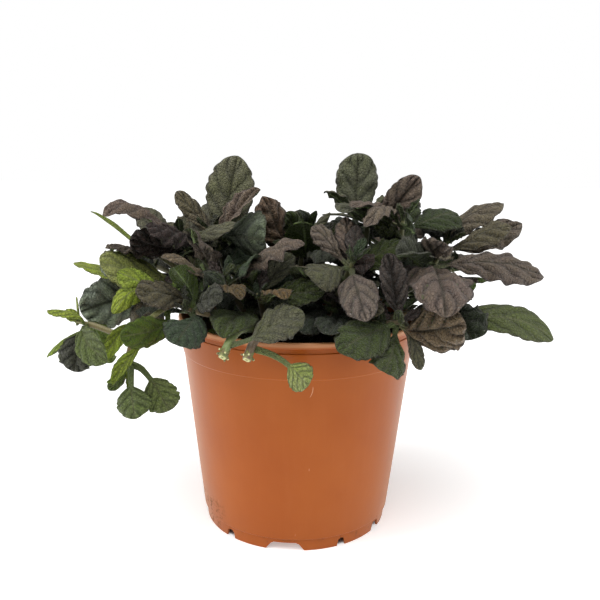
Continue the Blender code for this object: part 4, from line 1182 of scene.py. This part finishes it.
def makePot():
    s = potShape
    line = potProfile()
    mesh = bpy.data.meshes.new("pot")
    mesh.from_pydata([(x, 0, z) for x, z in line], [(k, k + 1) for k in range(len(line) - 1)], [])
    turned = addObject("potTurned", mesh)
    turn = turned.modifiers.new("turn", "SCREW")
    turn.steps = turn.render_steps = s["steps"]
    turn.use_merge_vertices = True
    turn.merge_threshold = 0.00005
    foot = potHigh.x - s["lipProud"] - s["taper"] * (1 - s["footHigh"] / potHigh.z) - s["footStep"]
    tools = []
    for kind in ("notch", "drain"):
        bm = bmesh.new()
        for half in (0, 180):
            for angle, degrees in s["notches"]:
                width = 2 * foot * math.sin(math.radians(degrees / 2))
                if kind == "notch":
                    base = width * (2 - s["notchTaper"])
                    cutterBlock(bm, base, s["notchDepth"], -s["notchHigh"], s["notchHigh"],
                                width * s["notchTaper"] / base, foot - s["wall"], angle + half,
                                0.7 * mm)
                elif degrees < 10:
                    cutterBlock(bm, s["drainWide"], s["drainLong"], s["floorRise"] - s["wall"],
                                s["floorRise"] + 2 * s["wall"], 1.0,
                                foot - s["wall"] - s["drainIn"], angle + half, 0)
        tool = bpy.data.meshes.new(kind)
        bm.to_mesh(tool)
        bm.free()
        cutter = addObject(kind, tool)
        cut = turned.modifiers.new(kind, "BOOLEAN")
        cut.object, cut.operation, cut.solver = cutter, "DIFFERENCE", "EXACT"
        tools.append(cutter)
    whole = finishedMesh(turned)
    whole.shade_smooth()
    whole.set_sharp_from_angle(angle=math.radians(40))
    for old in (turned, *tools):
        bpy.data.objects.remove(old, do_unlink=True)
    return addObject("potShell", whole)


# tones of the plastic, of what marks it and of the painted highlight along the lip, and where these lie
potFinish = {
    "plastic": tone(152, 74, 14), "darkCloud": tone(149, 72, 12), "paleCloud": tone(155, 78, 18),
    "flowLine": tone(164, 88, 36), "soil": tone(92, 54, 30), "dust": tone(214, 164, 122),
    "scratch": tone(238, 196, 160), "scuff": tone(226, 176, 142),
    "soilHigh": 16 * mm, "crustFrom": (-34 * mm, 21 * mm), "crustTo": (-44 * mm, 15 * mm),
    "dustFrom": 112.1 * mm, "dustTo": 113.5 * mm,
    "scratchAt": (7.4 * mm, 90 * mm), "scratchHalf": 3.2 * mm, "scratchWide": 0.22 * mm,
}


def soilOnPot(tree, place, across, height):
    # thin soil round the foot, and a dried crust at one side of it
    s = potFinish
    low = ramp(tree, height, s["soilHigh"], 0.0)
    patches = ramp(tree, noise(tree, place, 240.0, 5.0, 0.7), 0.56, 0.7)
    thin = times(tree, times(tree, low, patches), 0.55)
    spot = times(tree, ramp(tree, across, s["crustFrom"][0], s["crustTo"][0]),
                 ramp(tree, height, s["crustFrom"][1], s["crustTo"][1]))
    crust = ramp(tree, noise(tree, place, 420.0, 4.0, 0.75), 0.52, 0.58)
    return calc(tree, "MAXIMUM", thin, times(tree, times(tree, spot, crust), 0.75))


def scratchOnPot(tree, parts):
    # one short, slightly bowed scratch in the front wall
    s = potFinish
    rise = calc(tree, "SUBTRACT", parts.outputs[2], s["scratchAt"][1])
    bow = calc(tree, "MULTIPLY_ADD", times(tree, rise, rise), -60.0, s["scratchAt"][0])
    aside = calc(tree, "ABSOLUTE", calc(tree, "SUBTRACT", parts.outputs[0],
                                        calc(tree, "MULTIPLY_ADD", rise, 0.25, bow)))
    line = times(tree, ramp(tree, aside, s["scratchWide"], 0.08 * mm),
                 ramp(tree, calc(tree, "ABSOLUTE", rise), s["scratchHalf"], 1.8 * mm))
    return times(tree, times(tree, line, calc(tree, "LESS_THAN", parts.outputs[1], 0.0)), 0.5)


def scuffsOnPot(tree, place):
    lines = ramp(tree, noise(tree, stretched(tree, place, 0.09, (0.3, 0.5, 0.2)), 900.0, 2.0),
                 0.74, 0.78)
    few = ramp(tree, noise(tree, place, 34.0, 2.0), 0.56, 0.64)
    return times(tree, times(tree, lines, few), 0.6)


def potPlastic():
    s = potFinish
    material, tree, shader = plainMaterial("potPlastic", s["plastic"], 0.36)
    place = objectPlace(tree)
    parts = addNode(tree, "ShaderNodeSeparateXYZ", None, {0: place})
    cloudy = noise(tree, place, 22.0, 4.0)
    colour = mixColour(tree, ramp(tree, cloudy, 0.35, 0.7), s["darkCloud"], s["paleCloud"])
    flow = noise(tree, stretched(tree, place, 0.06), 260.0, 3.0)
    colour = mixColour(tree, ramp(tree, flow, 0.45, 0.75, 0.0, 0.12), colour, s["flowLine"])
    soil = soilOnPot(tree, place, parts.outputs[0], parts.outputs[2])
    colour = mixColour(tree, soil, colour, s["soil"])
    # painted highlight: a pale band at the height of the lip, where the light catches the rim
    dust = times(tree, ramp(tree, parts.outputs[2], s["dustFrom"], s["dustTo"]), 0.5)
    colour = mixColour(tree, dust, colour, s["dust"])
    colour = mixColour(tree, scratchOnPot(tree, parts), colour, s["scratch"])
    colour = mixColour(tree, scuffsOnPot(tree, place), colour, s["scuff"])
    rough = calc(tree, "MULTIPLY_ADD", soil, 0.4, calc(tree, "MULTIPLY_ADD", cloudy, 0.10, 0.30))
    fine = noise(tree, place, 1400.0, 3.0)
    height = calc(tree, "ADD", times(tree, fine, 0.2), times(tree, cloudy, 1.5))
    paint(tree, shader, colour, rough, height, 0.35, 0.4 * mm)
    shader.inputs["Specular IOR Level"].default_value = 0.2
    shader.inputs["Sheen Weight"].default_value = 0.16
    shader.inputs["Sheen Roughness"].default_value = 0.45
    shader.inputs["Sheen Tint"].default_value = (1.0, 0.72, 0.36, 1.0)
    return material


pot = makePot()
pot.data.materials.append(potPlastic())
rideRoot(pot, "pot_plastic", "pot")
print("pot made")

# potting mix: the CAD solid under a layer of crumbs
mixShape = {"crumbs": 16.0, "crumbSize": 1.35 * mm, "chips": 2.4, "chipSize": 2.6 * mm,
            "lumps": 1.6 * mm, "radius": 61.8 * mm}


def mixMaterial(name, dark, light):
    material, tree, shader = plainMaterial(name, dark, 0.9)
    place = objectPlace(tree)
    coarse = noise(tree, place, 210.0, 4.0, 0.65)
    fine = noise(tree, place, 1300.0, 4.0, 0.7)
    colour = mixColour(tree, ramp(tree, coarse, 0.4, 0.72), dark, light)
    colour = mixColour(tree, ramp(tree, fine, 0.35, 0.75, 0.0, 0.6), colour,
                       tinted(tree, colour, (0.35, 0.33, 0.32)))
    paint(tree, shader, colour, calc(tree, "MULTIPLY_ADD", fine, 0.25, 0.7),
          calc(tree, "ADD", fine, coarse), 0.8, 0.8 * mm)
    return material


def makeCrumbTree():
    tree, ins, outs = newGroup("crumbLayer", "GeometryNodeTree", (
        ("Geometry", "Geometry", None), ("Crumbs per Square Centimetre", "Float", 16.0),
        ("Crumb Size", "Float", 0.0013), ("Chips per Square Centimetre", "Float", 2.0),
        ("Chip Size", "Float", 0.0026), ("Lumps", "Float", 0.0016), ("Bed Radius", "Float", 0.06),
        ("Seed", "Int", 3),
        ("Crumb Material", "Material", None), ("Chip Material", "Material", None),
    ), (("Geometry", "Geometry"),))
    fineBase = addNode(tree, "GeometryNodeSubdivideMesh", None,
                       {"Mesh": ins.outputs["Geometry"], "Level": 2})
    place = addNode(tree, "GeometryNodeInputPosition").outputs[0]
    lumps = times(tree, calc(tree, "SUBTRACT", noise(tree, place, 70.0, 3.0), 0.5),
                  ins.outputs["Lumps"])
    lift = addNode(tree, "ShaderNodeCombineXYZ", None, {2: lumps}).outputs[0]
    bed = addNode(tree, "GeometryNodeSetPosition", None,
                  {"Geometry": fineBase.outputs[0], "Offset": lift})
    joined = addNode(tree, "GeometryNodeJoinGeometry")
    for title, stretch in (("Crumb", (1.0, 1.0, 0.8)), ("Chip", (1.5, 0.75, 0.3))):
        spots = addNode(tree, "GeometryNodeDistributePointsOnFaces", None, {
            "Mesh": bed.outputs[0], "Seed": ins.outputs["Seed"],
            "Density": times(tree, ins.outputs[title + "s per Square Centimetre"], 10000.0)})
        # none so near the wall that it could reach through
        fromAxis = addNode(tree, "ShaderNodeVectorMath", {"operation": "LENGTH"}, {
            0: addNode(tree, "ShaderNodeVectorMath", {"operation": "MULTIPLY"},
                       {0: place, 1: (1.0, 1.0, 0.0)}).outputs[0]}).outputs["Value"]
        limit = calc(tree, "MULTIPLY_ADD", ins.outputs[title + " Size"], -1.15 * stretch[0],
                     ins.outputs["Bed Radius"])
        kept = addNode(tree, "GeometryNodeDeleteGeometry", {"domain": "POINT"}, {
            "Geometry": spots.outputs["Points"],
            "Selection": calc(tree, "GREATER_THAN", fromAxis, limit)})
        grain = addNode(tree, "GeometryNodeMeshIcoSphere", None,
                        {"Radius": ins.outputs[title + " Size"], "Subdivisions": 1})
        shaped = addNode(tree, "GeometryNodeTransform", None,
                         {"Geometry": grain.outputs[0], "Scale": stretch})
        turn = addNode(tree, "FunctionNodeRandomValue", {"data_type": "FLOAT_VECTOR"},
                       {0: (-3.1, -3.1, -3.1), 1: (3.1, 3.1, 3.1), "Seed": 5}).outputs[0]
        size = addNode(tree, "FunctionNodeRandomValue", {"data_type": "FLOAT"},
                       {2: 0.35, 3: 1.15, "Seed": 9}).outputs[1]
        strewn = addNode(tree, "GeometryNodeInstanceOnPoints", None, {
            "Points": kept.outputs[0], "Instance": shaped.outputs[0],
            "Rotation": turn, "Scale": size})
        tree.links.new(marked(tree, strewn.outputs[0], "chip", float(title == "Chip")),
                       joined.inputs[0])
    real = addNode(tree, "GeometryNodeRealizeInstances", None, {"Geometry": joined.outputs[0]})
    normal = addNode(tree, "GeometryNodeInputNormal").outputs[0]
    uneven = calc(tree, "SUBTRACT", noise(tree, place, 900.0, 2.0), 0.5)
    crumble = scaledVector(tree, normal, times(tree, uneven, 1.1 * mm))
    rough = addNode(tree, "GeometryNodeSetPosition", None,
                    {"Geometry": real.outputs[0], "Offset": crumble})
    tree.links.new(twoMaterials(tree, rough.outputs[0], ins.outputs["Crumb Material"],
                                ins.outputs["Chip Material"], "chip"), outs.inputs[0])
    return tree


bed = welded("potting_mix")
mixTop = max(v.co.z for v in bed.verts)
bed.normal_update()
bmesh.ops.delete(bed, geom=[f for f in bed.faces if f.normal.z < 0.7
                            or f.calc_center_median().z < mixTop - 0.006], context="FACES")
bedMesh = bpy.data.meshes.new("mixBed")
bed.to_mesh(bedMesh)
bed.free()
crumbs = applyTree("mixCrumbs", bedMesh, makeCrumbTree(), {
    "Crumbs per Square Centimetre": mixShape["crumbs"], "Crumb Size": mixShape["crumbSize"],
    "Chips per Square Centimetre": mixShape["chips"], "Chip Size": mixShape["chipSize"],
    "Lumps": mixShape["lumps"], "Bed Radius": mixShape["radius"], "Seed": 3,
    "Crumb Material": mixMaterial("mixCrumb", tone(34, 27, 23), tone(58, 44, 34)),
    "Chip Material": mixMaterial("barkChip", tone(52, 36, 26), tone(86, 60, 42))})
rideRoot(crumbs, "potting_mix")
mixSolid = cadNodes["potting_mix"]
mixSolid.data.materials.clear()
mixSolid.data.materials.append(mixMaterial("mixSolid", tone(26, 21, 18), tone(46, 36, 28)))
print("potting mix made")

# camera, floor and light
view = {"from": Vector((0, -0.40102, 0.20849)), "down": 0.2129, "turn": 0.0026, "roll": 0.0134,
        "lens": 44.86}
eye = bpy.data.cameras.new("eye")
eye.lens = view["lens"]
eye.sensor_width = 36.0
eye.clip_start = 0.01
camera = addObject("eye", eye)
camera.matrix_world = (Matrix.Translation(view["from"])
                       @ Matrix.Rotation(-view["turn"], 4, "Z")
                       @ Matrix.Rotation(math.pi / 2 - view["down"], 4, "X")
                       @ Matrix.Rotation(view["roll"], 4, "Z"))
bpy.context.scene.camera = camera

# each lamp's place, the height it points at, its size and its power
lamps = {
    "topLight": ((-0.25, -0.35, 1.2), 0.12, (0.9, 0.9), 3.5),
    "leftLight": ((-0.95, -0.35, 0.35), 0.1, (0.35, 0.9), 6.0),
    "rightLight": ((0.95, -0.25, 0.35), 0.1, (0.3, 0.9), 5.0),
}
softSun = {"from": (-0.15, -0.32, 1.0), "spread": 75, "power": 2.4}
room = {"floorHalf": 3, "floorGlow": 0.38, "wall": 1.0, "fill": 0.14, "glossy": 0.42,
        "fillColour": (1.0, 0.985, 0.96, 1.0)}


def glowOnFloor(tree, place):
    # none under the pot, save behind the wide front notch
    way = addNode(tree, "ShaderNodeSeparateXYZ", None, {0: place})
    out = addNode(tree, "ShaderNodeVectorMath", {"operation": "LENGTH"}, {0: place}).outputs["Value"]
    aside = calc(tree, "ABSOLUTE", calc(tree, "ADD", way.outputs[0], 0.006))
    behind = calc(tree, "MAXIMUM", ramp(tree, aside, 0.010, 0.016),
                  ramp(tree, way.outputs[1], -0.036, -0.030))
    dark = times(tree, behind, ramp(tree, out, 0.0495, 0.0475))
    return mixColour(tree, calc(tree, "SUBTRACT", 1.0, dark), (0, 0, 0, 1), (1, 1, 1, 1))


def layFloor():
    half = room["floorHalf"]
    mesh = bpy.data.meshes.new("floor")
    mesh.from_pydata([(-half, -half, 0), (half, -half, 0), (half, half, 0), (-half, half, 0)], [],
                     [(0, 1, 2, 3)])
    material, tree, shader = plainMaterial("floorWhite", (0.92, 0.92, 0.92, 1.0), 0.7)
    tree.links.new(glowOnFloor(tree, objectPlace(tree)), shader.inputs["Emission Color"])
    shader.inputs["Emission Strength"].default_value = room["floorGlow"]
    shader.inputs["Specular IOR Level"].default_value = 0.1
    mesh.materials.append(material)
    addObject("floor", mesh)


def addLamp(name, place, target, size, power):
    lamp = bpy.data.lights.new(name, "AREA")
    lamp.shape = "RECTANGLE"
    lamp.size, lamp.size_y = size
    lamp.energy = power
    holder = addObject(name, lamp)
    way = Vector((0, 0, target)) - Vector(place)
    holder.matrix_world = Matrix.Translation(place) @ way.to_track_quat("-Z", "Y").to_matrix().to_4x4()


def addSun():
    sun = bpy.data.lights.new("softSun", "SUN")
    sun.energy = softSun["power"]
    sun.angle = math.radians(softSun["spread"])
    holder = addObject("softSun", sun)
    holder.matrix_world = Vector(softSun["from"]).to_track_quat("Z", "Y").to_matrix().to_4x4()


def paintRoom():
    # a white wall for the camera, and a dimmer one for what it lights and what mirrors it
    world = bpy.data.worlds.new("studio")
    world.use_nodes = True
    tree = world.node_tree
    wall = tree.nodes["Background"]
    wall.inputs[0].default_value = (1.0, 1.0, 1.0, 1.0)
    wall.inputs[1].default_value = room["wall"]
    rays = addNode(tree, "ShaderNodeLightPath").outputs
    soft = calc(tree, "MULTIPLY_ADD", rays["Is Glossy Ray"], room["glossy"] - room["fill"], room["fill"])
    fill = addNode(tree, "ShaderNodeBackground", None, {0: room["fillColour"], 1: soft})
    both = addNode(tree, "ShaderNodeMixShader", None,
                   {0: rays["Is Camera Ray"], 1: fill.outputs[0], 2: wall.outputs[0]})
    tree.links.new(both.outputs[0], tree.nodes["World Output"].inputs[0])
    bpy.context.scene.world = world


layFloor()
for name, lamp in lamps.items():
    addLamp(name, *lamp)
addSun()
paintRoom()
bpy.context.scene.view_settings.view_transform = "Standard"
print("stage set")
